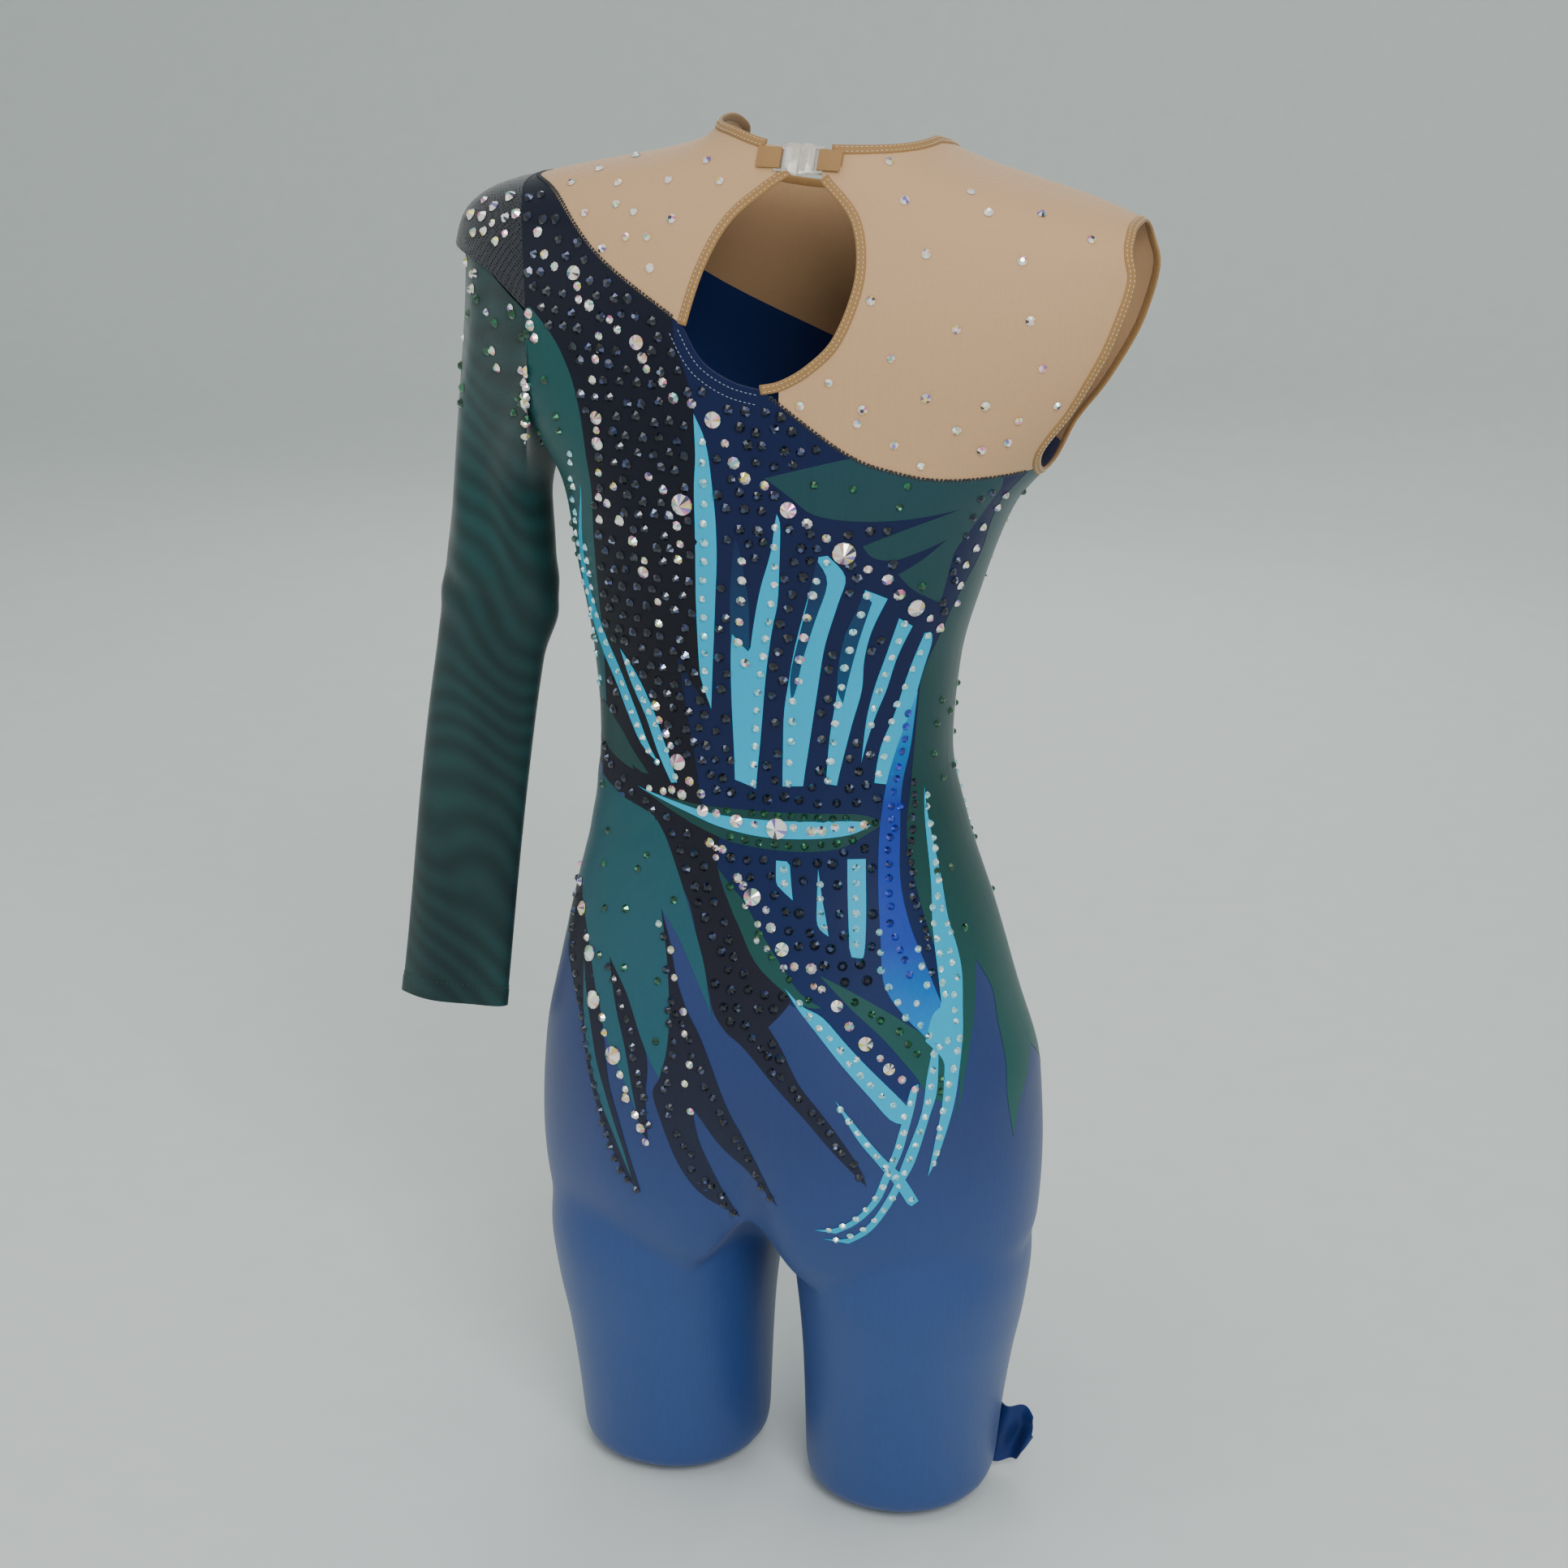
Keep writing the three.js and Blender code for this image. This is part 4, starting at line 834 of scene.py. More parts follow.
# Outlines seen from straight behind, x and z in millimetres. A higher layer is printed over a lower one.
prints = {
    "navyTorso": (navyInk, 1, [
        (60, 400), (10, 300), (-81, 240), (-160, 200), (-134, 166), (-113, 120), (-97, 76), (-89, 31),
        (-85, -27), (-97, -74), (-112, -120), (-119, -171), (-105, -182), (-101, -191), (-78, -170),
        (-50, -144), (-28, -134), (-15, -126), (23, -62), (32, -35), (71, -28), (113, -17), (128, 20),
        (135, 99), (152, 180), (190, 240), (190, 400)]),
    "charcoalTorso": (charcoalInk, 2, [
        (175, 340), (60, 290), (44, 252), (31, 209), (31, 123), (32, 51), (29, 35), (38, 45), (48, 64),
        (45, 28), (36, -26), (76, -31), (113, -17), (128, 20), (135, 99), (152, 180), (190, 240),
        (195, 345)]),
    "blackMass": (charcoalInk, 3, [
        (124, -10), (85, -12), (51, -35), (23, -44), (23, -62), (10, -88), (-6, -113), (-27, -129),
        (-29, -135), (-18, -149), (-27, -161), (-39, -181), (-51, -195), (-63, -211), (-75, -231),
        (-79, -244), (-60, -222), (-46, -205), (-27, -186), (-6, -165), (8, -155), (17, -144), (22, -130),
        (36, -92), (44, -77), (55, -59), (63, -43), (80, -36), (111, -27)]),
    "tealHip": (tealInk, 4, [
        (126, -22), (111, -28), (80, -36), (63, -43), (44, -77), (29, -110), (22, -130), (17, -151),
        (24, -136), (43, -107), (57, -92), (52, -111), (48, -129), (45, -150), (45, -172), (49, -191),
        (56, -182), (64, -168), (76, -145), (91, -128), (83, -155), (74, -179), (66, -208), (61, -225),
        (71, -203), (91, -171), (98, -154), (117, -142), (140, -130), (136, -70)]),
    "outerSpike": (charcoalInk, 5, [
        (142, -104), (128, -142), (111, -169), (103, -196), (95, -218), (83, -243), (71, -263), (62, -272),
        (65, -259), (75, -229), (85, -203), (91, -175), (98, -154), (111, -122), (124, -96)]),
    "outerStripe": (tealInk, 6, [
        (112, -136), (102, -171), (95, -193), (85, -216), (73, -244), (67, -264), (79, -238), (92, -215),
        (100, -195), (107, -173)]),
    "wedge": (charcoalInk, 5, [
        (91, -128), (83, -155), (74, -179), (66, -208), (61, -227), (56, -233), (58, -204), (58, -183),
        (64, -168), (76, -145)]),
    "spikes": (charcoalInk, 5, [
        (57, -92), (52, -111), (48, -129), (45, -150), (45, -172), (49, -191), (53, -201), (47, -219),
        (38, -242), (26, -263), (5, -287), (11, -267), (17, -247), (24, -225), (27, -205), (20, -215),
        (10, -231), (-7, -247), (-26, -265), (-17, -247), (-7, -228), (1, -212), (10, -190), (17, -174),
        (25, -159), (34, -146), (43, -128), (49, -110)]),
    "tealStrip": (tealInk, 4, [
        (138, 262), (131, 256), (123, 248), (116, 238), (109, 222), (105, 202), (103, 173), (103, 140),
        (104, 99),
        (105, 61), (107, 20), (125, 12), (131, 60), (140, 110), (162, 175), (176, 215), (160, 250)]),
    "greenWaist": (greenInk, 4, [
        (111, 19), (96, 10), (84, -3), (72, -15), (84, -15), (96, -12), (113, -6), (123, 2)]),
    "sliverOne": (aquaInk, 6, [
        (111, 160), (115, 125), (112, 92), (103, 68), (92, 48), (82, 26), (73, 5), (65, -7), (78, 3),
        (88, 21), (97, 40), (109, 60), (119, 88), (119, 123)]),
    "sliverTwo": (aquaInk, 6, [
        (90, 61), (79, 48), (69, 29), (62, 10), (52, -16), (56, -17), (66, 1), (74, 22), (84, 43)]),
    "stripeA": (aquaInk, 4, [
        (32, 213), (25, 198), (21, 173), (19, 149), (20, 122), (24, 84), (29, 34), (34, 51), (35, 64),
        (33, 120), (32, 165), (31, 190)]),
    "stripeBLimb": (fadeInk, 4, [
        (13, 104), (8, 143), (6, 141), (2, 109), (2, 94), (4, 60), (15, 60)]),
    "stripeB": (aquaInk, 5, [
        (-17, 160), (-19, 150), (-16, 111), (-11, 88), (-4, 46), (2, -13), (15, -9), (16, 29), (15, 67),
        (13, 84), (8, 78), (3, 73), (-1, 94), (-6, 115), (-13, 137)]),
    "stripeC": (aquaInk, 4, [
        (-40, 136), (-45, 137), (-54, 124), (-49, 107), (-41, 82), (-36, 57), (-32, 33), (-26, -9),
        (-14, -10), (-15, 32), (-19, 57), (-24, 80), (-32, 108), (-38, 127)]),
    "stripeCShade": (fadeInk, 5, [
        (-39, 134), (-44, 120), (-36, 96), (-28, 72), (-23, 52), (-20, 45), (-20, 60), (-26, 84),
        (-33, 110)]),
    "stripeD": (aquaInk, 4, [
        (-64, 116), (-75, 110), (-66, 90), (-61, 71), (-59, 52), (-53, 29), (-45, -8), (-39, -7),
        (-41, 22), (-46, 52), (-50, 81), (-58, 101)]),
    "stripeDShade": (fadeInk, 5, [
        (-63, 114), (-67, 108), (-61, 90), (-54, 66), (-49, 44), (-46, 54), (-50, 81), (-58, 101)]),
    "stripeE": (aquaInk, 4, [
        (-80, 97), (-86, 91), (-78, 73), (-72, 53), (-66, 36), (-61, 19), (-58, 6), (-61, 33), (-65, 51),
        (-71, 70), (-76, 85)]),
    "stripeF": (aquaInk, 5, [
        (-91, 85), (-94, 85), (-93, 76), (-88, 58), (-85, 44), (-80, 16), (-73, -9), (-65, -7), (-68, 15),
        (-75, 35), (-81, 57)]),
    "royalBand": (royalInk, 6, [
        (-86, 48), (-84, 29), (-82, 11), (-79, -8), (-80, -33), (-83, -63), (-91, -89), (-102, -113),
        (-112, -135), (-120, -153), (-119, -170), (-107, -154), (-96, -142), (-85, -128), (-80, -116),
        (-76, -91), (-72, -66), (-70, -40), (-70, -23), (-71, -9), (-76, 14), (-82, 34)]),
    "spikeH": (aquaInk, 7, [
        (-89, -14), (-94, -37), (-102, -65), (-109, -89), (-116, -108), (-120, -122), (-123, -141),
        (-125, -157), (-126, -178), (-125, -198), (-122, -212), (-118, -227), (-113, -239), (-116, -220),
        (-119, -200), (-119, -180), (-117, -168), (-107, -156), (-109, -142), (-113, -138), (-109, -120),
        (-103, -94), (-98, -66), (-92, -36)]),
    "stripeI": (aquaInk, 7, [
        (-26, -126), (-37, -135), (-50, -141), (-65, -156), (-78, -169), (-98, -189), (-103, -197),
        (-102, -203), (-97, -203), (-91, -199), (-80, -186), (-64, -169), (-49, -152), (-34, -136)]),
    "arcJ": (aquaInk, 8, [
        (-106, -180), (-103, -204), (-99, -221), (-92, -239), (-86, -254), (-74, -269), (-61, -278),
        (-49, -277), (-61, -274), (-72, -266), (-82, -253), (-88, -237), (-94, -221), (-98, -205),
        (-102, -184)]),
    "arcK": (aquaInk, 9, [
        (-114, -161), (-116, -185), (-113, -201), (-106, -228), (-99, -243), (-92, -258), (-81, -275),
        (-68, -285), (-54, -283), (-68, -281), (-79, -271), (-88, -256), (-95, -241), (-101, -223),
        (-109, -197), (-110, -178), (-111, -161)]),
    "barL": (aquaInk, 10, [
        (-61, -189), (-77, -209), (-89, -225), (-99, -237), (-108, -255), (-103, -259), (-95, -243),
        (-85, -228), (-73, -211)]),
    "chipA": (aquaInk, 5, [(-13, -54), (-21, -54), (-23, -66), (-25, -76), (-17, -70), (-14, -66)]),
    "chipB": (aquaInk, 5, [(-38, -57), (-42, -74), (-45, -84), (-48, -95), (-41, -89), (-39, -74)]),
    "chipC": (aquaInk, 5, [
        (-54, -51), (-64, -51), (-67, -78), (-69, -104), (-67, -107), (-61, -106), (-57, -78)]),
    "leafGreen": (greenInk, 6, [
        (76, -25), (57, -26), (35, -27), (-5, -26), (-56, -25), (-72, -31), (-63, -37), (-49, -45),
        (-24, -48), (8, -47), (31, -42), (51, -35)]),
    "leafAqua": (aquaInk, 9, [
        (79, -24), (51, -28), (28, -31), (-5, -31), (-54, -29), (-65, -32), (-54, -37), (-32, -40),
        (-3, -41), (24, -38), (47, -32)]),
    "bandOne": (greenInk, 5, [
        (23, -62), (7, -77), (-8, -96), (-22, -113), (-33, -126), (-42, -132), (-50, -136), (-38, -135),
        (-27, -129), (-6, -113), (10, -88)]),
    "bandTwo": (greenInk, 5, [
        (-45, -117), (-65, -126), (-83, -136), (-95, -144), (-107, -154), (-119, -170), (-120, -193),
        (-111, -186), (-103, -174), (-85, -153), (-66, -136)]),
    "upperRight": (greenInk, 4, [
        (-10, 180), (-29, 186), (-61, 195), (-90, 200), (-125, 195), (-135, 179), (-123, 160),
        (-115, 147), (-108, 136), (-104, 122), (-99, 103), (-88, 114), (-81, 125), (-93, 133), (-105, 144),
        (-89, 137), (-79, 134), (-69, 136), (-64, 143), (-75, 148), (-92, 155), (-113, 163), (-88, 159),
        (-60, 158), (-38, 161), (-25, 170)]),
    "rightSide": (greenInk, 4, [
        (-160, 198), (-134, 169), (-124, 152), (-117, 131), (-110, 114), (-104, 100), (-96, 79), (-88, 57),
        (-85, 27), (-83, -8), (-84, -40), (-93, -73), (-104, -101), (-116, -130), (-123, -158),
        (-127, -205), (-129, -180), (-129, -149), (-125, -118), (-134, -138), (-139, -156), (-146, -178),
        (-150, -200), (-154, -229), (-155, -209), (-154, -184), (-152, -171), (-150, -156), (-146, -138),
        (-136, -104), (-124, -69), (-112, -28), (-106, 19), (-112, 55), (-122, 98), (-138, 136),
        (-156, 177)]),
}

inkFilm = {
    "spacing": 5.0,
    "lift": 0.06,
    "perLayer": 0.045,
    "thickness": 0.15,
    "flatPerDegree": 1.95,
    "cut": ("navyTorso", "charcoalTorso"),    # these run up over the shoulder
}


def filledOutline(points, spacing):    # triangles of even size inside a flat outline
    outline = [points[0]]
    for point in list(points[1:]) + [points[0]]:    # close points are thinned, and corners kept
        if np.linalg.norm(np.array(point) - outline[-1]) > spacing * 0.3:
            outline.append(point)
    if np.linalg.norm(np.array(outline[-1]) - outline[0]) < spacing * 0.3:
        outline.pop()
    xs = [p[0] for p in outline]
    zs = [p[1] for p in outline]
    inside = outlineDistance([(p[0] / mm, p[1] / mm) for p in outline])
    grid = []
    row = 0
    z = min(zs) + spacing * 0.5
    while z < max(zs):
        x = min(xs) + spacing * (0.25 if row % 2 else 0.75)
        while x < max(xs):
            grid.append((x, z))
            x += spacing
        z += spacing * 0.87
        row += 1
    if grid:
        keep = inside(np.array(grid)) > spacing * 0.35
        grid = [point for point, ok in zip(grid, keep) if ok]
    verts = [Vector((p[0], p[1])) for p in outline] + [Vector(p) for p in grid]
    loop = list(range(len(outline)))
    return delaunay_2d_cdt(verts, [], [loop], 1, 1e-6)[:3:2]


def cutInk(bm, points, lift, face):    # a large area, cut from the worn shape itself
    area = sideHalf(face)
    area.normal_update()
    for vert in area.verts:
        vert.co += vert.normal * lift * mm
    snip(area, outlineDistance([tuple(p) for p in corneredLine(points, 4)]), 1)
    mesh = bpy.data.meshes.new("ink")
    area.to_mesh(mesh)
    area.free()
    bm.from_mesh(mesh)
    bpy.data.meshes.remove(mesh)


def layInk(bm, points, lift, face):    # face 1 is the back, -1 the front
    perDegree = inkFilm["flatPerDegree"]
    flat = [(turnAt(x, z) * perDegree, z) for x, z in points]
    flat = corneredLine(flat, 4)
    verts, faces = filledOutline(flat, inkFilm["spacing"])
    made = []
    for vert in verts:
        turn = max(min(vert.x / perDegree, 90), -90)
        made.append(bm.verts.new(onForm(turn if face > 0 else 180 - turn, vert.y, lift * mm)[0]))
    bm.verts.ensure_lookup_table()
    for face3 in faces:
        corners = [made[i] for i in face3]
        if not bm.faces.get(corners):
            bm.faces.new(corners)


def makePrints():
    byInk = {}
    for name, (ink, layer, points) in prints.items():
        byInk.setdefault(ink.name, [ink, []])[1].append((name, layer, points))
    for inkName, (ink, rows) in byInk.items():
        word = inkName.split(" sublimation")[0].split(" airbrushed")[0].replace(" ", "_")
        for face, faceName in ((1, "back"), (-1, "front")):
            bm = bmesh.new()
            for name, layer, points in rows:
                lay = cutInk if name in inkFilm["cut"] else layInk
                lay(bm, points, inkFilm["lift"] + inkFilm["perLayer"] * layer, face)
            bm.normal_update()
            for part in bm.faces:
                if formTree.find_nearest(part.calc_center_median())[1].dot(part.normal) < 0:
                    part.normal_flip()
            gone = ("yokeBack", "rightArm", "leftArm", "keyhole") if face > 0 else (
                "yokeFront", "rightArm", "leftArm")
            for area in gone:
                snip(bm, areas[area], -1)
            obj = finishPiece(f"{faceName}_print_{word}", bm, ink)
            thicken(obj, inkFilm["thickness"])
            print(obj.name, len(obj.data.polygons), "faces")


makePrints()
print("prints laid")


# Bindings, facing and stitching

trim = {
    "bindingWidth": 5.6,
    "bindingThickness": 2.0,
    "bindingSides": 12,
    "stitchLength": 1.9,
    "stitchGap": 0.8,
    "stitchRadius": 0.32,
    "rowOffset": 1.3,
    "overlockStep": 2.1,
    "overlockLength": 3.0,
    "facingWidth": 15,
}


def onBack(x, z, side=1):          # a point seen from behind or in front, on the form
    turn = turnAt(x, z)
    return onForm(turn if side > 0 else 180 - turn, z)[0]


def framesAlong(path):             # place, direction, outward normal and sideways at each point
    frames = []
    for i, point in enumerate(path):
        ahead = path[min(i + 1, len(path) - 1)] - path[max(i - 1, 0)]
        normal = smoothNormal(point)[1]
        direction = ahead.normalized()
        normal = (normal - direction * normal.dot(direction)).normalized()
        frames.append((point, direction, normal, direction.cross(normal)))
    return frames


def makeBinding(name, path, node):    # a rounded strip, folded over the edge that the path follows
    frames = framesAlong(path)
    last = len(frames) - 1

    def placeAt(u, v):
        point, direction, normal, across = frames[min(int(round(v * last)), last)]
        c, s = rounded(2 * math.pi * u, 3)
        return (point + across * (c * trim["bindingWidth"] / 2 * mm)
                + normal * (s * trim["bindingThickness"] / 2 * mm))

    bm = gridSheet(trim["bindingSides"], last, placeAt, closed=True)
    bmesh.ops.holes_fill(bm, edges=bm.edges, sides=0)
    obj = finishPiece(name, bm, nudeBinding, outward=True)
    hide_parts(node)
    return obj


def stitchRow(bm, path, offset, rise, length, gap, radius, turn=0.0):
    frames = framesAlong(evenly(path, (length + gap) * mm))
    for point, direction, normal, across in frames[1:-1]:
        along = (direction * math.cos(turn) + across * math.sin(turn)).normalized()
        side = normal.cross(along)
        matrix = Matrix((along * length / 2 * mm, side * radius * mm, normal * radius * mm)).transposed()
        matrix = matrix.to_4x4()
        matrix.translation = point + across * offset * mm + normal * rise * mm
        bmesh.ops.create_icosphere(bm, subdivisions=1, radius=1, matrix=matrix)


def necklinePath():                # round the neck from one clasp tab to the other
    first, last = math.radians(90 - 13), math.radians(90 + 16) - 2 * math.pi
    path = []
    for i in range(241):
        angle = first + (last - first) * i / 240
        wrapped = math.degrees(angle if angle > -math.pi else angle + 2 * math.pi)
        path.append(onForm(90 - wrapped, readTable(necklineTable, wrapped)[0])[0])
    return evenly(path, 2 * mm)


def linePath(name, side=1):
    points = [flatPlace(*p) for p in edges[name]]
    return evenly([onBack(p[0], p[1], side) for p in smoothLine(points, 10)], 2 * mm)


armPath = evenly(linePath("rightArm", 1)[::-1] + linePath("rightArm", -1)[1:], 2 * mm)
stitching = bmesh.new()
for key, name, path, node in (
        ("neck", "neck_edge_binding", necklinePath(), "neck_binding"),
        ("keyLeft", "keyhole_left_edge_binding", linePath("keyholeLeft"), "keyhole_binding_left"),
        ("keyRight", "keyhole_right_edge_binding", linePath("keyholeRight"), "keyhole_binding_right"),
        ("arm", "right_armhole_edge_binding", armPath, "armhole_binding")):
    makeBinding(name, path, node)
    for side in (1, -1):
        stitchRow(stitching, path, side * trim["rowOffset"], trim["bindingThickness"] / 2,
                  trim["stitchLength"], trim["stitchGap"], trim["stitchRadius"])
finishPiece("binding_stitches", stitching, tanThread)

# the yoke seam is finished with a dense black overlock stitch, which stands over both cloths
overlock = bmesh.new()
for name, side in (("yokeBack", 1), ("yokeFront", -1)):
    path = [onBack(p[0], p[1], side) for p in smoothLine([flatPlace(*q) for q in edges[name]], 12)
            if areas["keyhole"](np.array([[p[0] * mm, p[1] * mm]]))[0] < 0 or side < 0]
    path = [p for p in path if areas["rightArm"](np.array([[p.x, p.z]]))[0] < 0]
    parts = [[]]
    for point in path:             # the keyhole parts the back seam in two
        if parts[-1] and (point - parts[-1][-1]).length > 0.02:
            parts.append([])
        parts[-1].append(point)
    for part in parts:
        if len(part) > 3:
            stitchRow(overlock, part, 0, 0.3, trim["overlockLength"],
                      trim["overlockStep"] - trim["overlockLength"], 0.55, turn=math.radians(62))
            stitchRow(overlock, part, -1.0, 0.4, 2.2, 0.4, 0.6)
finishPiece("yoke_overlock_stitches", overlock, blackThread)


def makeFacing():                  # a strip behind the keyhole's low edge, held by two rows of stitching
    low = [flatPlace(*p) for p in edges["keyholeLow"]]
    middle = np.array(flatPlace(-.04, .62))
    wider = []
    for p in smoothLine(low, 6):
        out = np.array(p) - middle
        wider.append(tuple(middle + out * (1 + trim["facingWidth"] / np.linalg.norm(out))))
    outline = outlineDistance([tuple(p) for p in smoothLine(low, 6)] + wider[::-1])
    bm = sideHalf(1)
    snip(bm, areas["yokeBack"], -1)
    snip(bm, outline, 1)
    dropCrumbs(bm, 4)
    for vert in bm.verts:
        vert.co -= smoothNormal(vert.co)[1] * 1.4 * mm
    obj = finishPiece("keyhole_inner_facing", bm, navyInk)
    thicken(obj, 0.7)
    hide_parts("keyhole_facing")
    declareSheet(obj, "small")
    rows = bmesh.new()
    for inward in (3.2, 8.6):
        path = []
        for p in smoothLine(low, 6):
            out = np.array(p) - middle
            spot = middle + out * (1 + inward / np.linalg.norm(out))
            if areas["yokeBack"](np.array([spot * mm]))[0] < -1 * mm:
                path.append(onBack(spot[0], spot[1]))
        stitchRow(rows, path, 0, 0.45, trim["stitchLength"], trim["stitchGap"], 0.3)
    finishPiece("facing_stitches", rows, greyThread)


makeFacing()


def makeLining(name, node, side, inset=1.5):    # the form's own surface inside the design's box for it
    bm = sideHalf(side) if side else form.copy()
    for k in (0, 2, 1):
        for corner, keep in zip(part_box(node), (1, -1)):
            snip(bm, lambda co: np.asarray(co)[:, k] - corner[k], keep)
    dropCrumbs(bm, 20)
    for vert in bm.verts:
        vert.co -= smoothNormal(vert.co)[1] * inset * mm
    obj = finishPiece(name, bm, liningCloth)
    thicken(obj, 0.8)
    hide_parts(node)
    declareSheet(obj, "small")


makeLining("bust_lining", "front_lining", -1)
makeLining("gusset", "gusset_lining", 0)
print("trims made")


# The empty sleeve

sleeveShape = {
    # height, half width, middle, half depth: the tube below the armpit
    "rows": [
        (-215, 38, 235, 9), (-211.75, 37.5, 234.5, 9), (-52, 36.5, 214.5, 13), (27, 36, 202, 16),
        (62, 39, 194, 18), (97, 35, 192, 21), (150, 30, 190.5, 25), (175, 29, 190, 28),
    ],
    "blendBelow": 128,             # below this it is a tube, above it opens out to the armhole
    "tubeShare": 0.66,             # the part of its rows that the tube takes
    "around": 72,
    "rows3d": 150,
    "hemTop": -198.5,
    "bendFrom": (0.180, 0, 0.233),
    "bendTo": (0.231, 0, 0.209),
}
sleeveTable = smoothRows([(z, w, x, d, d) for z, w, x, d in sleeveShape["rows"]])


def armholeRing():                 # the sleeve's top edge: under the cap, then down both armhole edges
    line = [flatPlace(*p) for p in ((1, .63), (.9, .61), (.82, .575), (.74, .51), (.685, .455), (.69, .37),
                                    (.74, .26), (.83, .13), (.93, .05))]
    back = [onBack(x, z, 1) for x, z in line]
    low = onForm(90, flatPlace(1, -.01)[1])[0]
    front = [onBack(x, z, -1) for x, z in line[1:]]
    points = back + [low] + front[::-1]
    line = [Vector(tuple(p)) for p in smoothLine([tuple(p) for p in points], 8, closed=True)]
    return evenly(line + [line[0]], 1 * mm)[:-1]


ring = armholeRing()


def ringPlace(u):                  # u runs round the sleeve from its outer side, over the back
    at = (u % 1) * len(ring)
    i = int(at) % len(ring)
    return ring[i].lerp(ring[(i + 1) % len(ring)], at - int(at))


def folds(u, z):                   # how far the empty cloth stands in or out, in millimetres
    turn = 2 * math.pi * u
    high = min(max((z - 20) / 120, 0), 1)
    low = min(max((60 - z) / 200, 0), 1)
    swing = 2.2 * high * math.sin(5 * turn + 0.020 * z + 0.8)
    swing += 1.5 * math.sin(3 * turn - 0.011 * z + 1.9) * (0.35 + 0.65 * high)
    swing += 0.9 * low * math.sin(4 * turn + 0.016 * z)
    dent = 1.3 * math.exp(-((z - 70) / 22) ** 2) * math.sin(0.20 * z + 3 * turn)
    return swing + dent


def sleevePlace(u, v):
    low = sleeveShape["rows"][1][0]
    top = ringPlace(u)
    blendBelow, tubeShare = sleeveShape["blendBelow"], sleeveShape["tubeShare"]
    if v < tubeShare:
        z = low + (blendBelow - low) * v / tubeShare
        share = 0.0
    else:
        share = (v - tubeShare) / (1 - tubeShare)
        z = blendBelow + (top.z / mm - blendBelow) * share
    halfWidth, middle, depth = readTable(sleeveTable, z)[:3]
    out = folds(u, z) * (1 - share) ** 0.7
    hem = 0.6 if z < sleeveShape["hemTop"] else 0.0
    c, s = rounded(2 * math.pi * u, 2.0)
    tube = Vector((middle + (halfWidth + hem + out * 0.35) * c, (depth + hem + out) * s, z)) * mm
    return tube.lerp(Vector((top.x, top.y, z * mm)), easeBetween(share, 0, 1))


def makeSleeve():
    bm = gridSheet(sleeveShape["around"], sleeveShape["rows3d"], sleevePlace, closed=True)
    bmesh.ops.recalc_face_normals(bm, faces=bm.faces)
    outward = 0
    for face in bm.faces:          # away from the sleeve's own middle line
        middle = face.calc_center_median()
        outward += (middle - Vector((0.205, 0, middle.z))).dot(face.normal)
    if outward < 0:
        bmesh.ops.reverse_faces(bm, faces=bm.faces)
    obj = finishPiece("sleeve_cloth", bm, greenMesh, body=None)
    thicken(obj, 0.6)
    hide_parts("sleeve", "sleeve_hem")
    return obj


sleeve = makeSleeve()
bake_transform(sleeve)
declareSheet(sleeve, "loose")


def hemStitches():                 # one row of stitching along the top of the cuff's hem
    bm = bmesh.new()
    z = sleeveShape["hemTop"]
    low = sleeveShape["rows"][1][0]
    v = (z - low) / (sleeveShape["blendBelow"] - low) * sleeveShape["tubeShare"]
    halfWidth, middle, depth = readTable(sleeveTable, z)[:3]
    steps = 66
    for i in range(steps):
        c, s = rounded(2 * math.pi * i / steps, 2.0)
        here, ahead = sleevePlace(i / steps, v), sleevePlace((i + 0.5) / steps, v)
        along = (ahead - here).normalized()
        normal = Vector((c / halfWidth, s / depth, 0)).normalized()
        side = normal.cross(along)
        matrix = Matrix((along * 1.0 * mm, side * 0.3 * mm, normal * 0.3 * mm)).transposed().to_4x4()
        matrix.translation = here + normal * 0.15 * mm
        bmesh.ops.create_icosphere(bm, subdivisions=1, radius=1, matrix=matrix)
    finishPiece("cuff_hem_stitches", bm, greenThread, body="empty_sleeve")


hemStitches()
print("sleeve made")


# The loose flap of leg cloth at the outside of the right thigh

def flapPlace(u, v):
    low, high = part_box("leg_right_surplus")
    x = low.x + (high.x + 0.006 - low.x) * u
    top = high.z - 0.004 - 0.010 * (1 - u)
    bottom = low.z + 0.004 + (0.020 if u < 0.3 else 0.0) * (1 - u / 0.3)
    z = bottom + (top - bottom) * v
    pleat = 3.2 * mm * math.sin(2 * math.pi * (1.6 * u + 0.45 * v)) + 1.6 * mm * math.sin(9 * v + 4 * u)
    return Vector((x, (low.y + high.y) / 2 + pleat, z + 2 * mm * math.sin(7 * u)))


flap = finishPiece("right_leg_loose_cloth", gridSheet(26, 34, flapPlace), navyInk)
thicken(flap, 0.9, 0)
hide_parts("leg_right_surplus")
declareSheet(flap, "loose")


# The clasp and its tabs

def softCopy(node, name, body, material, width):
    # a copy of the design's shape with its edges rounded, as a moulding or folded cloth has
    bm = bmesh.new()
    source = bpy.data.objects[node]
    bm.from_mesh(source.data)
    bmesh.ops.transform(bm, matrix=source.matrix_world, verts=bm.verts)
    bmesh.ops.remove_doubles(bm, verts=bm.verts, dist=1e-5)
    bmesh.ops.dissolve_limit(bm, angle_limit=math.radians(1), verts=bm.verts, edges=bm.edges)
    obj = finishPiece(name, bm, material, body=body)
    bevel = obj.modifiers.new("Soft edges", "BEVEL")
    bevel.width = width * mm
    bevel.segments = 2
    bevel.limit_method = "ANGLE"
    bevel.angle_limit = math.radians(35)
    applyModifiers(obj)
    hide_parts(node)


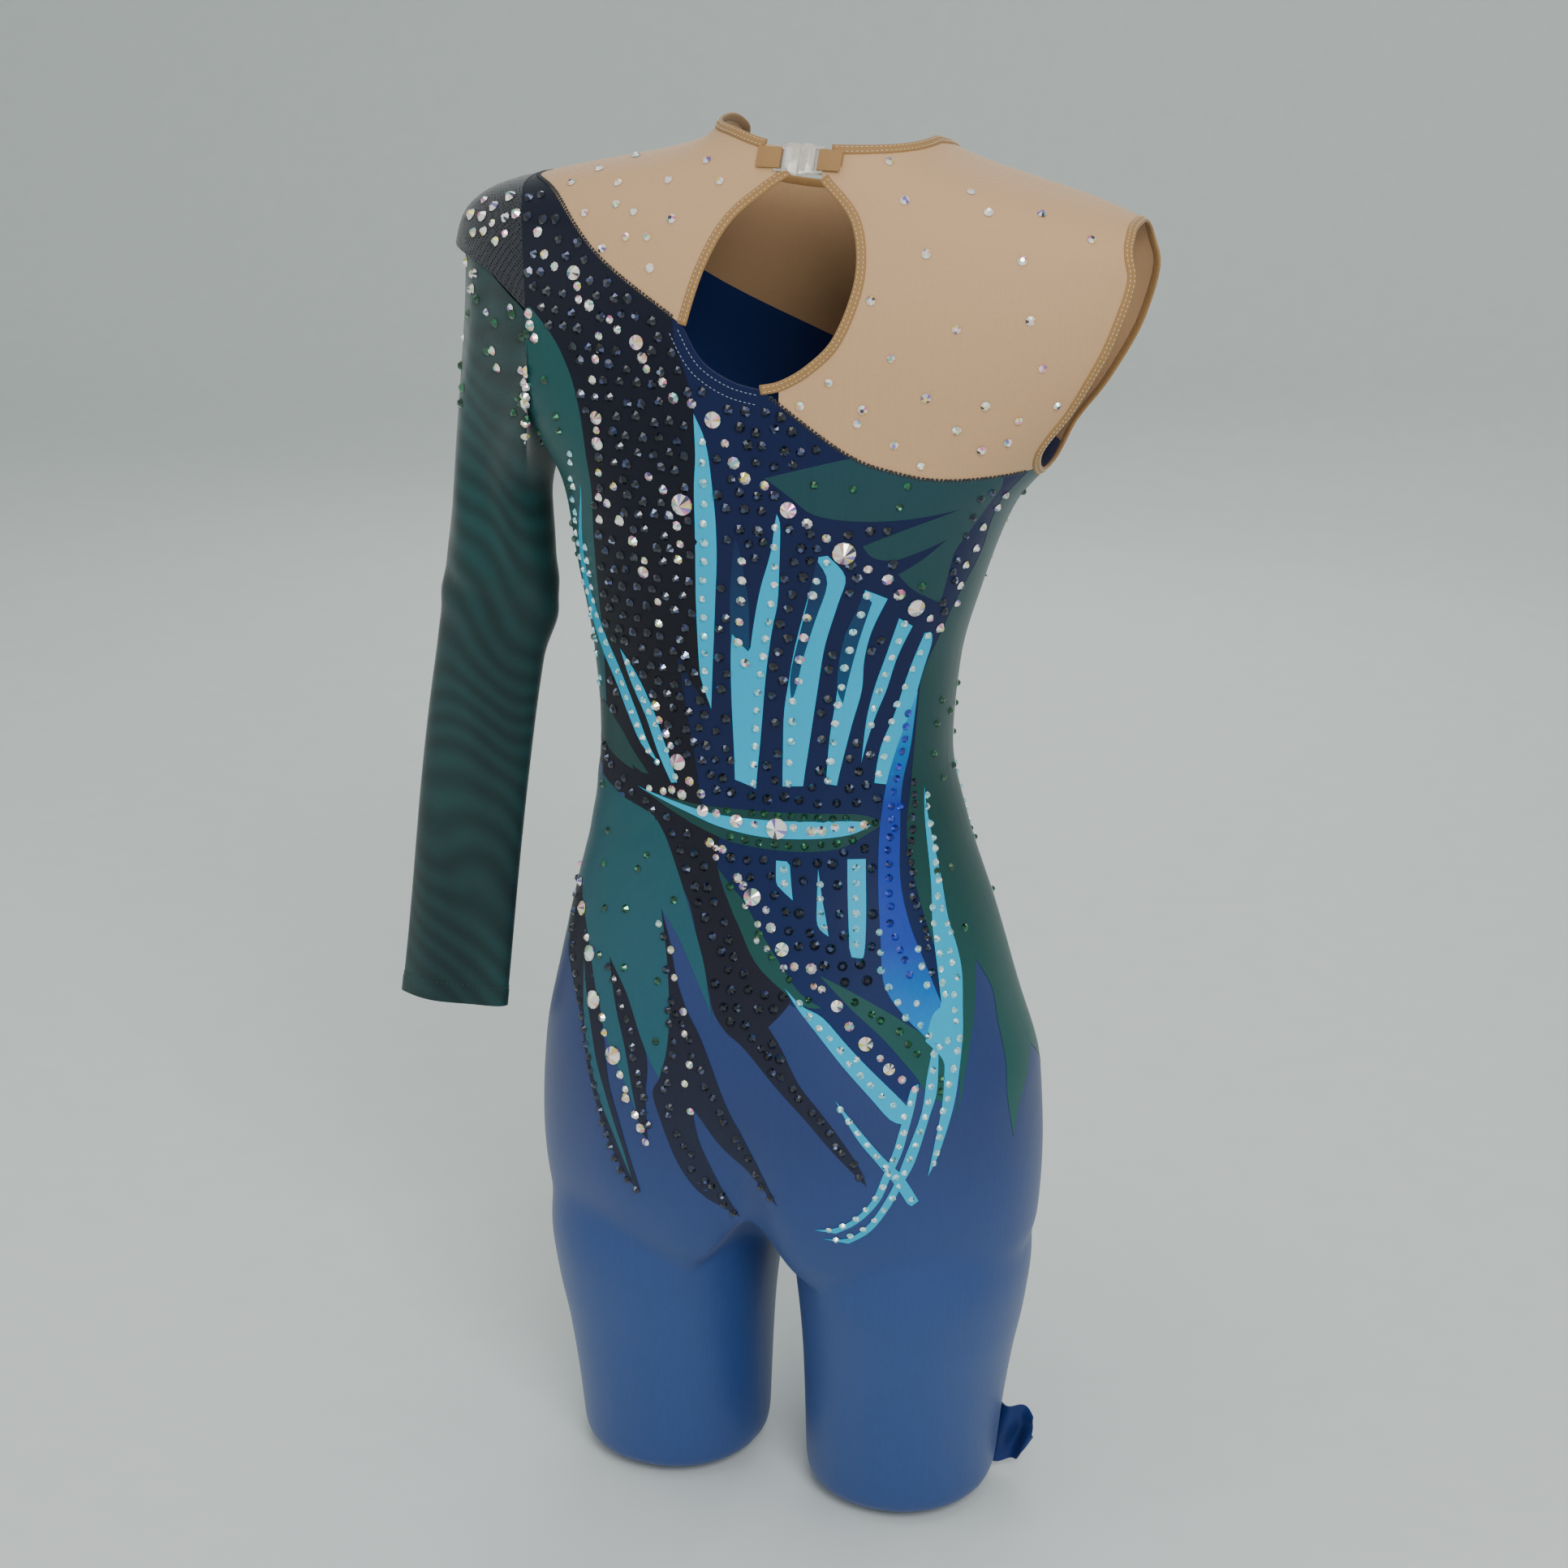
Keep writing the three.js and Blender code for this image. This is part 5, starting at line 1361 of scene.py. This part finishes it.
softCopy("clasp_hook", "clasp_left_half", "clasp_slider", plastic, 0.35)
softCopy("clasp_catch", "clasp_right_half", "garment", plastic, 0.35)
softCopy("neck_tab_left", "left_clasp_tab", "clasp_slider", nudeBinding, 0.3)
softCopy("neck_tab_right", "right_clasp_tab", "garment", nudeBinding, 0.3)
print("clasp made")


# Crystals

stones = {
    "heightShare": 0.34,
    "tableShare": 0.42,
    "sides": 8,
    "largeSides": 14,
    "darkSpacing": 10.4,
    "darkSize": (5.0, 6.2),
    "sprinkleSize": (4.2, 5.2),
    "sprinkleMargin": 4.0,         # how far a sprinkled stone stays inside its printed shape
    "grow": 1.07,
    "glue": 0.1,
}
chance = random.Random(7)


def setStone(bm, tone, place3, normal, diameter, pointed):
    diameter *= stones["grow"]
    turn = up.rotation_difference(normal).to_matrix().to_4x4()
    spin = Matrix.Rotation(chance.uniform(0, math.pi), 4, "Z")
    rise = diameter * stones["heightShare"] * mm
    radius = diameter / 2 * mm
    if pointed:                    # a large stone: a girdle, a main row of facets and a small top
        rows = ((radius, radius * 0.97, 0.0, rise * 0.22), (radius * 0.97, radius * 0.08, rise * 0.22, rise))
    else:
        rows = ((radius, radius * stones["tableShare"], 0.0, rise),)
    sides = stones["largeSides"] if pointed else stones["sides"]
    before = len(bm.faces)
    for wide, narrow, low, high in rows:
        shift = Matrix.Translation(Vector((0, 0, (low + high) / 2)))
        matrix = Matrix.Translation(place3 + normal * stones["glue"] * mm) @ turn @ spin @ shift
        bmesh.ops.create_cone(bm, cap_ends=True, segments=sides, radius1=wide, radius2=narrow,
                              depth=high - low, matrix=matrix)
    bm.faces.ensure_lookup_table()
    # a random tone per facet picks its colour from the glass's ramp, painted glints and painted reflections
    # among them
    for i in range(before, len(bm.faces)):
        bm.faces[i][tone] = chance.random()


def stonePiece(name, spots, material, body="garment", pointed=False):
    bm = bmesh.new()
    tone = bm.faces.layers.float.new("tone")
    for place3, normal, diameter in spots:
        setStone(bm, tone, place3, normal, diameter, pointed)
    return finishPiece(name, bm, material, body=body, smooth=False)


def spotAt(x, z, diameter, face=1):
    turn = turnAt(x, z)
    place3 = onForm(turn if face > 0 else 180 - turn, z, 0.35 * mm)[0]
    return (place3, smoothNormal(place3)[1], diameter)


def rowSpots(points, spacing, sizes, jitter):
    spots = []
    for p in evenly([tuple(p) for p in smoothLine(points, 6)], spacing):
        x = p[0] + chance.uniform(-jitter, jitter)
        z = p[1] + chance.uniform(-jitter, jitter)
        spots.append((x, z, chance.uniform(*sizes)))
    return spots


stoneLines = {
    "crystal": [
        # points, spacing, smallest and largest, sideways scatter
        ([(45, 222), (21, 211), (8, 185), (-9, 174), (-24, 163), (-39, 153), (-54, 138), (-64, 130),
          (-76, 122), (-88, 102), (-98, 85)], 10.5, (4.5, 7.0), 2.0),
        ([(26, -47), (12, -59), (-1, -76), (-12, -91), (-22, -104), (-36, -114), (-57, -135), (-76, -155),
          (-89, -169), (-101, -179)], 8.0, (4.0, 6.4), 4.0),
        ([(28, -50), (14, -66), (2, -84), (-10, -100), (-26, -112), (-48, -128), (-70, -150)], 10.0,
         (3.6, 5.2), 4.0),
        ([(71, -23), (52, -23), (35, -30), (13, -33), (-11, -35), (-37, -34), (-51, -33), (-63, -32)], 8.0,
         (4.2, 6.2), 1.6),
        ([(65, 30), (60, 12), (52, -3), (44, -13), (36, -19)], 9.0, (4.2, 6.8), 1.5),
        ([(134, -92), (118, -110), (107, -132), (98, -158), (83, -185), (73, -206), (59, -238)], 9.5,
         (4.2, 6.2), 3.0),
        ([(137, 300), (129, 289), (109, 283), (104, 269), (90, 264), (84, 260), (68, 250), (61, 235),
          (45, 222)], 10.0, (4.5, 6.4), 2.5),
        ([(142, 262), (140, 254), (136, 246)], 6.5, (5.0, 6.5), 2.0),
        ([(92, 252), (96, 229), (96, 202), (95, 189), (95, 162), (96, 142)], 14.0, (4.5, 6.2), 1.5),
        ([(60, 173), (44, 161), (44, 146), (42, 136), (43, 126)], 12.0, (4.5, 6.0), 1.0),
        ([(85, 165), (90, 153), (68, 128), (67, 117), (62, 105), (59, 96), (60, 85)], 14.0,
         (4.5, 6.5), 1.0),
        ([(5, 131), (6, 103), (9, 80), (6, 67)], 12.0, (4.4, 6.0), 0.8),
        ([(-36, 112), (-31, 94), (-27, 73), (-25, 57)], 14.0, (4.4, 6.0), 0.8),
        ([(-131, 169), (-123, 152), (-116, 137), (-111, 122), (-106, 107), (-100, 90)], 12.0,
         (4.2, 5.4), 2.0),
        ([(54, -101), (44, -127), (37, -154), (28, -208)], 17.0, (4.2, 5.0), 4.0),
    ],
    "aqua": [
        ([(27, 197), (26, 153), (30, 93), (32, 46)], 11.5, (4.2, 5.0), 0.4),
        ([(-16, 152), (-14, 118), (-7, 81), (0, 44), (4, -10)], 11.5, (4.2, 5.0), 0.4),
        ([(-44, 133), (-37, 117), (-26, 78), (-20, 36), (-17, -8)], 13.0, (4.2, 5.0), 0.5),
        ([(-65, 112), (-57, 91), (-51, 68), (-46, 42), (-40, -5)], 12.5, (4.2, 5.0), 0.4),
        ([(-82, 93), (-75, 72), (-68, 52), (-63, 29)], 12.0, (4.0, 4.8), 0.3),
        ([(-92, 83), (-86, 67), (-76, 40), (-70, 12), (-67, -2)], 11.0, (4.0, 4.8), 0.3),
        ([(-90, -19), (-94, -36), (-100, -61), (-105, -82), (-112, -101), (-115, -113), (-120, -138),
          (-123, -162), (-122, -184), (-120, -206), (-116, -232)], 8.5, (3.8, 4.8), 1.2),
        ([(-102, -83), (-106, -102), (-111, -122), (-117, -141), (-118, -158)], 9.0, (3.8, 4.8), 1.0),
        ([(-96, -142), (-106, -150), (-114, -160)], 8.0, (3.8, 4.8), 1.0),
        ([(-35, -134), (-46, -145), (-61, -159), (-76, -176), (-92, -190), (-100, -199)], 9.0,
         (3.8, 4.8), 0.5),
        ([(-71, -164), (-81, -176), (-93, -190)], 8.0, (3.8, 4.6), 0.5),
        ([(-104, -182), (-101, -204), (-93, -230), (-85, -250), (-71, -268), (-57, -276)], 9.0,
         (3.6, 4.4), 0.2),
        ([(-112, -164), (-113, -185), (-110, -204), (-102, -230), (-94, -251), (-78, -273), (-61, -283)],
         9.0, (3.6, 4.4), 0.2),
        ([(-64, -194), (-74, -208), (-85, -224), (-97, -241), (-104, -254)], 9.0, (3.8, 4.6), 0.3),
        ([(-18, -59), (-19, -67)], 8.0, (4.0, 4.6), 0.0),
        ([(-40, -66), (-42, -82), (-45, -90)], 9.0, (3.6, 4.2), 0.0),
        ([(-59, -56), (-61, -75), (-64, -99)], 9.5, (4.0, 4.8), 0.0),
        ([(112, 120), (110, 90), (104, 66), (93, 44), (83, 20), (74, 1), (67, -7)], 8.5, (3.8, 4.8), 0.8),
        ([(85, 54), (76, 35), (68, 18), (59, 0), (54, -13)], 8.5, (3.8, 4.6), 0.5),
        ([(-76, -93), (-80, -116), (-88, -130), (-95, -135), (-104, -128), (-97, -104)], 11.0,
         (3.8, 4.8), 0.6),
        ([(115, 178), (120, 145), (119, 114), (118, 94), (115, 74), (113, 54), (113, 28)], 7.5,
         (3.8, 4.8), 2.0),
    ],
    "emerald": [
        ([(35, -28.5), (7, -27.5), (-22, -27.5), (-50, -27.5), (-67, -30.5)], 8.0, (4.0, 4.8), 0.4),
        ([(16, -43), (-9, -45), (-33, -44), (-56, -40)], 9.0, (4.0, 4.8), 0.4),
        ([(-60, -128), (-80, -140), (-100, -156), (-114, -172), (-117, -186)], 9.0, (4.2, 5.0), 2.5),
        ([(14, -72), (-4, -94), (-22, -116), (-40, -131)], 15.0, (4.0, 4.8), 0.6),
        ([(-92, 20), (-92, -10), (-96, -40), (-104, -66)], 17.0, (4.0, 4.8), 4.0),
    ],
    "cobalt": [
        ([(-82, 34), (-78, 9), (-75, -18), (-76, -43), (-78, -69), (-82, -89), (-89, -105), (-94, -117)],
         8.0, (4.2, 4.8), 1.2),
        ([(-80, 0), (-78, -50), (-87, -96), (-97, -112)], 12.0, (4.2, 4.8), 1.0),
    ],
    "dark": [
        ([(135, -95), (129, -117), (121, -143), (109, -171), (98, -203), (87, -234), (75, -260), (64, -271)],
         8.0, (4.4, 5.4), 0.6),
        ([(90, -133), (77, -156), (68, -178), (61, -205), (56, -230)], 8.0, (4.4, 5.4), 1.5),
        ([(52, -108), (48, -130), (44, -152), (42, -176), (46, -198), (36, -226), (22, -255), (8, -284)],
         8.5, (4.4, 5.4), 2.2),
        ([(44, -140), (32, -164), (20, -186), (10, -206), (-4, -232), (-22, -262)], 9.0, (4.4, 5.4), 2.0),
        ([(-14, -160), (-24, -173), (-34, -185), (-48, -200), (-62, -217), (-74, -238)], 8.5,
         (4.4, 5.4), 2.4),
        ([(-85, -10), (-86, -38), (-89, -66), (-97, -88), (-105, -110), (-108, -124)], 6.5, (4.2, 5.0), 1.0),
        ([(-128, 172), (-120, 156), (-113, 140), (-107, 124), (-101, 106), (-95, 86)], 6.5, (4.4, 5.2), 2.2),
        ([(112, -12), (92, -22), (70, -34)], 7.0, (4.4, 5.4), 3.0),
    ],
}
darkAreas = ("navyTorso", "charcoalTorso", "blackMass")
lightAreas = [name for name in prints if prints[name][0] not in (navyInk, charcoalInk)]
# emerald stones scattered over these shapes, and their spacing
sprinkled = {"rightSide": 34, "tealHip": 30, "upperRight": 24, "tealStrip": 22, "greenWaist": 18}


def darkSpots(taken):              # rows of dark stones over the navy and charcoal, clear of the rest
    spacing = stones["darkSpacing"]
    grid = []
    row = 0
    z = -205.0
    while z < 340:
        x = -150 + (spacing / 2 if row % 2 else 0)
        while x < 190:
            grid.append((x + chance.uniform(-1.7, 1.7), z + chance.uniform(-1.7, 1.7)))
            x += spacing
        z += spacing * 0.9
        row += 1
    co = np.array(grid) * mm
    inside = np.full(len(co), -1.0)
    for name in darkAreas:
        inside = np.maximum(inside, outlineDistance(prints[name][2])(co))
    clear = np.full(len(co), 1.0)
    for name in lightAreas:
        clear = np.minimum(clear, -outlineDistance(prints[name][2])(co))
    for name, keep in (("yokeBack", 3.5), ("keyhole", 12.0), ("leftArm", 2.5), ("rightArm", 3.0)):
        clear = np.minimum(clear, -areas[name](co) - keep * mm + 2.6 * mm)
    near = np.array([(x, z) for x, z, size in taken]) * mm
    gap = np.array([np.min(np.hypot(*(near - point).T)) for point in co])
    ok = (inside > 2 * mm) & (clear > 2.4 * mm) & (gap > 6.0 * mm)
    ok &= ~((co[:, 1] < -132 * mm) & (co[:, 0] < -30 * mm))    # the seat below the bands stays plain
    return [(x, z, chance.uniform(*stones["darkSize"])) for (x, z), good in zip(grid, ok) if good]


def sprinkle(name, spacing):
    outline = prints[name][2]
    distance = outlineDistance(outline)
    xs, zs = [p[0] for p in outline], [p[1] for p in outline]
    spots = []
    z = min(zs)
    while z < max(zs):
        x = min(xs)
        while x < max(xs):
            spot = (x + chance.uniform(-.3, .3) * spacing, z + chance.uniform(-.3, .3) * spacing)
            if distance(np.array([spot]) * mm)[0] > stones["sprinkleMargin"] * mm:
                spots.append((*spot, chance.uniform(*stones["sprinkleSize"])))
            x += spacing
        z += spacing * 0.8
    return spots


def makeStones():
    spots = {kind: [] for kind in stoneLines}
    for kind, rows in stoneLines.items():
        for points, spacing, sizes, jitter in rows:
            spots[kind] += rowSpots(points, spacing, sizes, jitter=jitter)
    for name, spacing in sprinkled.items():
        spots["emerald"] += sprinkle(name, spacing)
    large = [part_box(name) for name in sorted(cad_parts) if name.startswith("crystal_")]
    centres = [((low.x + high.x) / 2 / mm, (low.z + high.z) / 2 / mm, 10) for low, high in large]
    order = ("crystal", "aqua", "cobalt", "emerald", "dark")
    kept = {kind: [] for kind in order}
    placed = list(centres)
    for kind in order:             # a later stone gives way to one already set
        rows = spots[kind] + (darkSpots(placed + spots["dark"]) if kind == "dark" else [])
        for x, z, size in rows:
            if all(math.hypot(x - a, z - b) > (size + c) / 2 * 0.96 for a, b, c in placed):
                blocked = any(areas[n](np.array([[x * mm, z * mm]]))[0] > -1.5 * mm
                              for n in ("yokeBack", "keyhole", "leftArm", "rightArm"))
                if not blocked:
                    placed.append((x, z, size))
                    kept[kind].append((x, z, size))
    materials = {"crystal": oxideCoatCrystalWithPaintedGlints, "aqua": aquaGlass, "cobalt": cobaltGlass,
                 "emerald": emeraldGlass, "dark": darkGlass}
    for kind in order:
        for face, faceName in ((1, "back"), (-1, "front")):
            rows = kept[kind]
            if face < 0:
                rows = [row for row in rows
                        if areas["yokeFront"](np.array([[row[0], row[1]]]) * mm)[0] < -2 * mm]
            places = [spotAt(x, z, size, face) for x, z, size in rows]
            stonePiece(f"{faceName}_{kind}_stones", places, materials[kind])
        print(kind, "stones set,", len(kept[kind]), "a side")


makeStones()

# stones on the mesh yoke, sparse and clear of the seam, as x, z
yokeStones = [
    (95, 341), (60, 335), (111, 335), (92, 331), (89, 321), (53, 316), (66, 306), (108, 315), (93, 298),
    (62, 290), (28, 337), (39, 346), (77, 318), (79, 305), (124, 328), (-64, 350), (-78, 332), (-123, 327),
    (-94, 306), (-145, 304), (-178, 314), (-150, 326), (-111, 336), (-67, 281), (-152, 273), (-114, 268),
    (-80, 251), (-159, 247), (-99, 230), (-130, 226), (-165, 225), (-146, 217), (-115, 212), (-82, 203),
    (-62, 214), (-65, 222), (-46, 236), (-30, 222), (-127, 200), (-96, 191), (-140, 204),
]
yokeSpots = [spotAt(x, z, chance.uniform(4.4, 5.4)) for x, z in yokeStones]
yokeSpots += [spotAt(x, z, 4.8, -1) for x, z in yokeStones
              if areas["yokeFront"](np.array([[x * mm, z * mm]]))[0] > 6 * mm and z < 318]
stonePiece("yoke_crystals", yokeSpots, oxideCoatCrystalWithPaintedGlints)

capStones = [(164, 317), (173, 311), (183, 312), (180, 305), (171, 303), (162, 307), (184, 296), (166, 294),
             (160, 299), (155, 310), (176, 298), (190, 304)]
capSpots = []
for x, z in capStones:
    place3, normal, size = spotAt(x, z, chance.uniform(4.2, 7.2))
    capSpots.append((place3 + normal * 2.6 * mm * capRise(x * mm), normal, size))
stonePiece("cap_crystals", capSpots, oxideCoatCrystalWithPaintedGlints)


def sleeveSpots(rows):             # on the sleeve's own surface: share round it, share up it, diameter
    spots = []
    for u, v, size in rows:
        here = sleevePlace(u, v)
        across = sleevePlace(u + 0.01, v) - sleevePlace(u - 0.01, v)
        along = sleevePlace(u, min(v + 0.01, 1)) - sleevePlace(u, v - 0.01)
        normal = across.cross(along).normalized()
        if normal.y * (1 if (u % 1) < 0.5 else -1) < 0:
            normal = -normal
        spots.append((here + normal * 0.35 * mm, normal, size))
    return spots


# stones on the sleeve's top, behind and then in front: how many, where round it, spread down it, sizes
sleeveCrystals, sleeveDark = [], []
for count, around, spread, sizes in ((44, (0.04, 0.40), 0.075, (4.2, 6.2)),
                                     (14, (0.60, 0.95), 0.07, (4.2, 5.8))):
    for _ in range(count):
        u = chance.uniform(*around)
        v = 0.985 - abs(chance.gauss(0, spread))
        (sleeveCrystals if chance.random() < 0.5 else sleeveDark).append((u, v, chance.uniform(*sizes)))
for name, rows, material in (("sleeve_top_crystals", sleeveCrystals, oxideCoatCrystalWithPaintedGlints),
                             ("sleeve_top_dark_stones", sleeveDark, emeraldGlass)):
    piece = stonePiece(name, sleeveSpots(rows), material, body=None)
    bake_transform(piece)

largeSpots = []
largeNodes = sorted(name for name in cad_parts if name.startswith("crystal_"))
for name in largeNodes:
    low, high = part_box(name)
    middle = Vector([(a + b) / 2 for a, b in zip(low, high)])
    hit, normal = smoothNormal(middle)
    largeSpots.append((hit + normal * 0.4 * mm, normal, max(high.x - low.x, high.z - low.z) / mm))
largePiece = stonePiece("large_crystals", largeSpots, oxideCoatCrystalWithPaintedGlints, pointed=True)
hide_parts(*largeNodes)
print("stones done")

scene = bpy.context.scene


declareSheet(backPanel, "panel")
declareSheet(frontPanel, "panel")
declareSheet(yokeBackLeft, "yoke")
declareSheet(yokeBackRight, "yoke")
declareSheet(yokeFront, "yoke")


# Floor, light and camera

# a floor that bends up into a wall well behind, in metres
backdrop = {"near": 5.0, "bend": -2.4, "radius": 1.1, "top": 4.5, "halfWidth": 6.0, "floor": -0.506}


def makeStage():
    material, tree = newMaterial("matt painted board")
    # emulsion paint on board: flat and even, with a faint mottle
    grain = addNode(tree, "ShaderNodeTexNoise", {"Scale": 1 / (33.3 * mm), "Detail": 3.0},
                    {"Vector": place(tree).outputs[0]})
    color = addNode(tree, "ShaderNodeValToRGB", links={"Fac": grain.outputs["Fac"]},
                    stops=[(0.2, "#d6dcdb"), (0.8, "#dbe0df")])
    shader = addNode(tree, "ShaderNodeBsdfPrincipled", {"Roughness": 0.8}, {"Base Color": color.outputs[0]})
    closeMaterial(tree, shader)
    profile = [(backdrop["near"], backdrop["floor"])]
    for step in range(17):
        turn = math.radians(90 * step / 16)
        profile.append((backdrop["bend"] - backdrop["radius"] * math.sin(turn),
                        backdrop["floor"] + backdrop["radius"] * (1 - math.cos(turn))))
    profile.append((backdrop["bend"] - backdrop["radius"], backdrop["top"]))
    bm = bmesh.new()
    rows = [[bm.verts.new((side, y, z)) for side in (-backdrop["halfWidth"], backdrop["halfWidth"])]
            for y, z in profile]
    for below, above in zip(rows, rows[1:]):
        bm.faces.new((below[0], below[1], above[1], above[0]))
    obj = finishPiece("floor", bm, material, body=None)


makeStage()
world = bpy.data.worlds.new("Soft room light")
world.use_nodes = True
world.node_tree.nodes["Background"].inputs["Color"].default_value = linear("#c3cac6")
world.node_tree.nodes["Background"].inputs["Strength"].default_value = 0.95
scene.world = world

lights = {
    # place, size, watts: a large window light, a fill from the left and light from above
    "window": ((-1.2, 1.9, 1.5), 1.1, 44),
    "fill": ((1.9, 1.3, 0.7), 1.6, 7),
    "above": ((0.1, 0.2, 2.2), 1.4, 12),
    "front": ((0.4, -2.2, 1.0), 1.6, 14),
}
for name, (spot, size, power) in lights.items():
    data = bpy.data.lights.new(name, "AREA")
    data.size = size
    data.energy = power
    lamp = bpy.data.objects.new(name, data)
    lamp.location = spot
    lamp.rotation_euler = (Vector((0, 0, -0.05)) - Vector(spot)).to_track_quat("-Z", "Y").to_euler()
    scene.collection.objects.link(lamp)

view = {"from": (-0.504, 1.550, 0.560), "at": (0.008, 0, -0.035), "lens": 65.2, "roll": 0.6}
camera = bpy.data.objects.new("camera", bpy.data.cameras.new("camera"))
camera.data.lens = view["lens"]
camera.data.sensor_width = 36
camera.data.clip_end = 30
direction = Vector(view["at"]) - Vector(view["from"])
turn = direction.to_track_quat("-Z", "Y").to_matrix().to_4x4()
camera.matrix_world = (Matrix.Translation(Vector(view["from"])) @ turn
                       @ Matrix.Rotation(math.radians(view["roll"]), 4, "Z"))
scene.collection.objects.link(camera)
scene.camera = camera
print("stage set")

form.free()
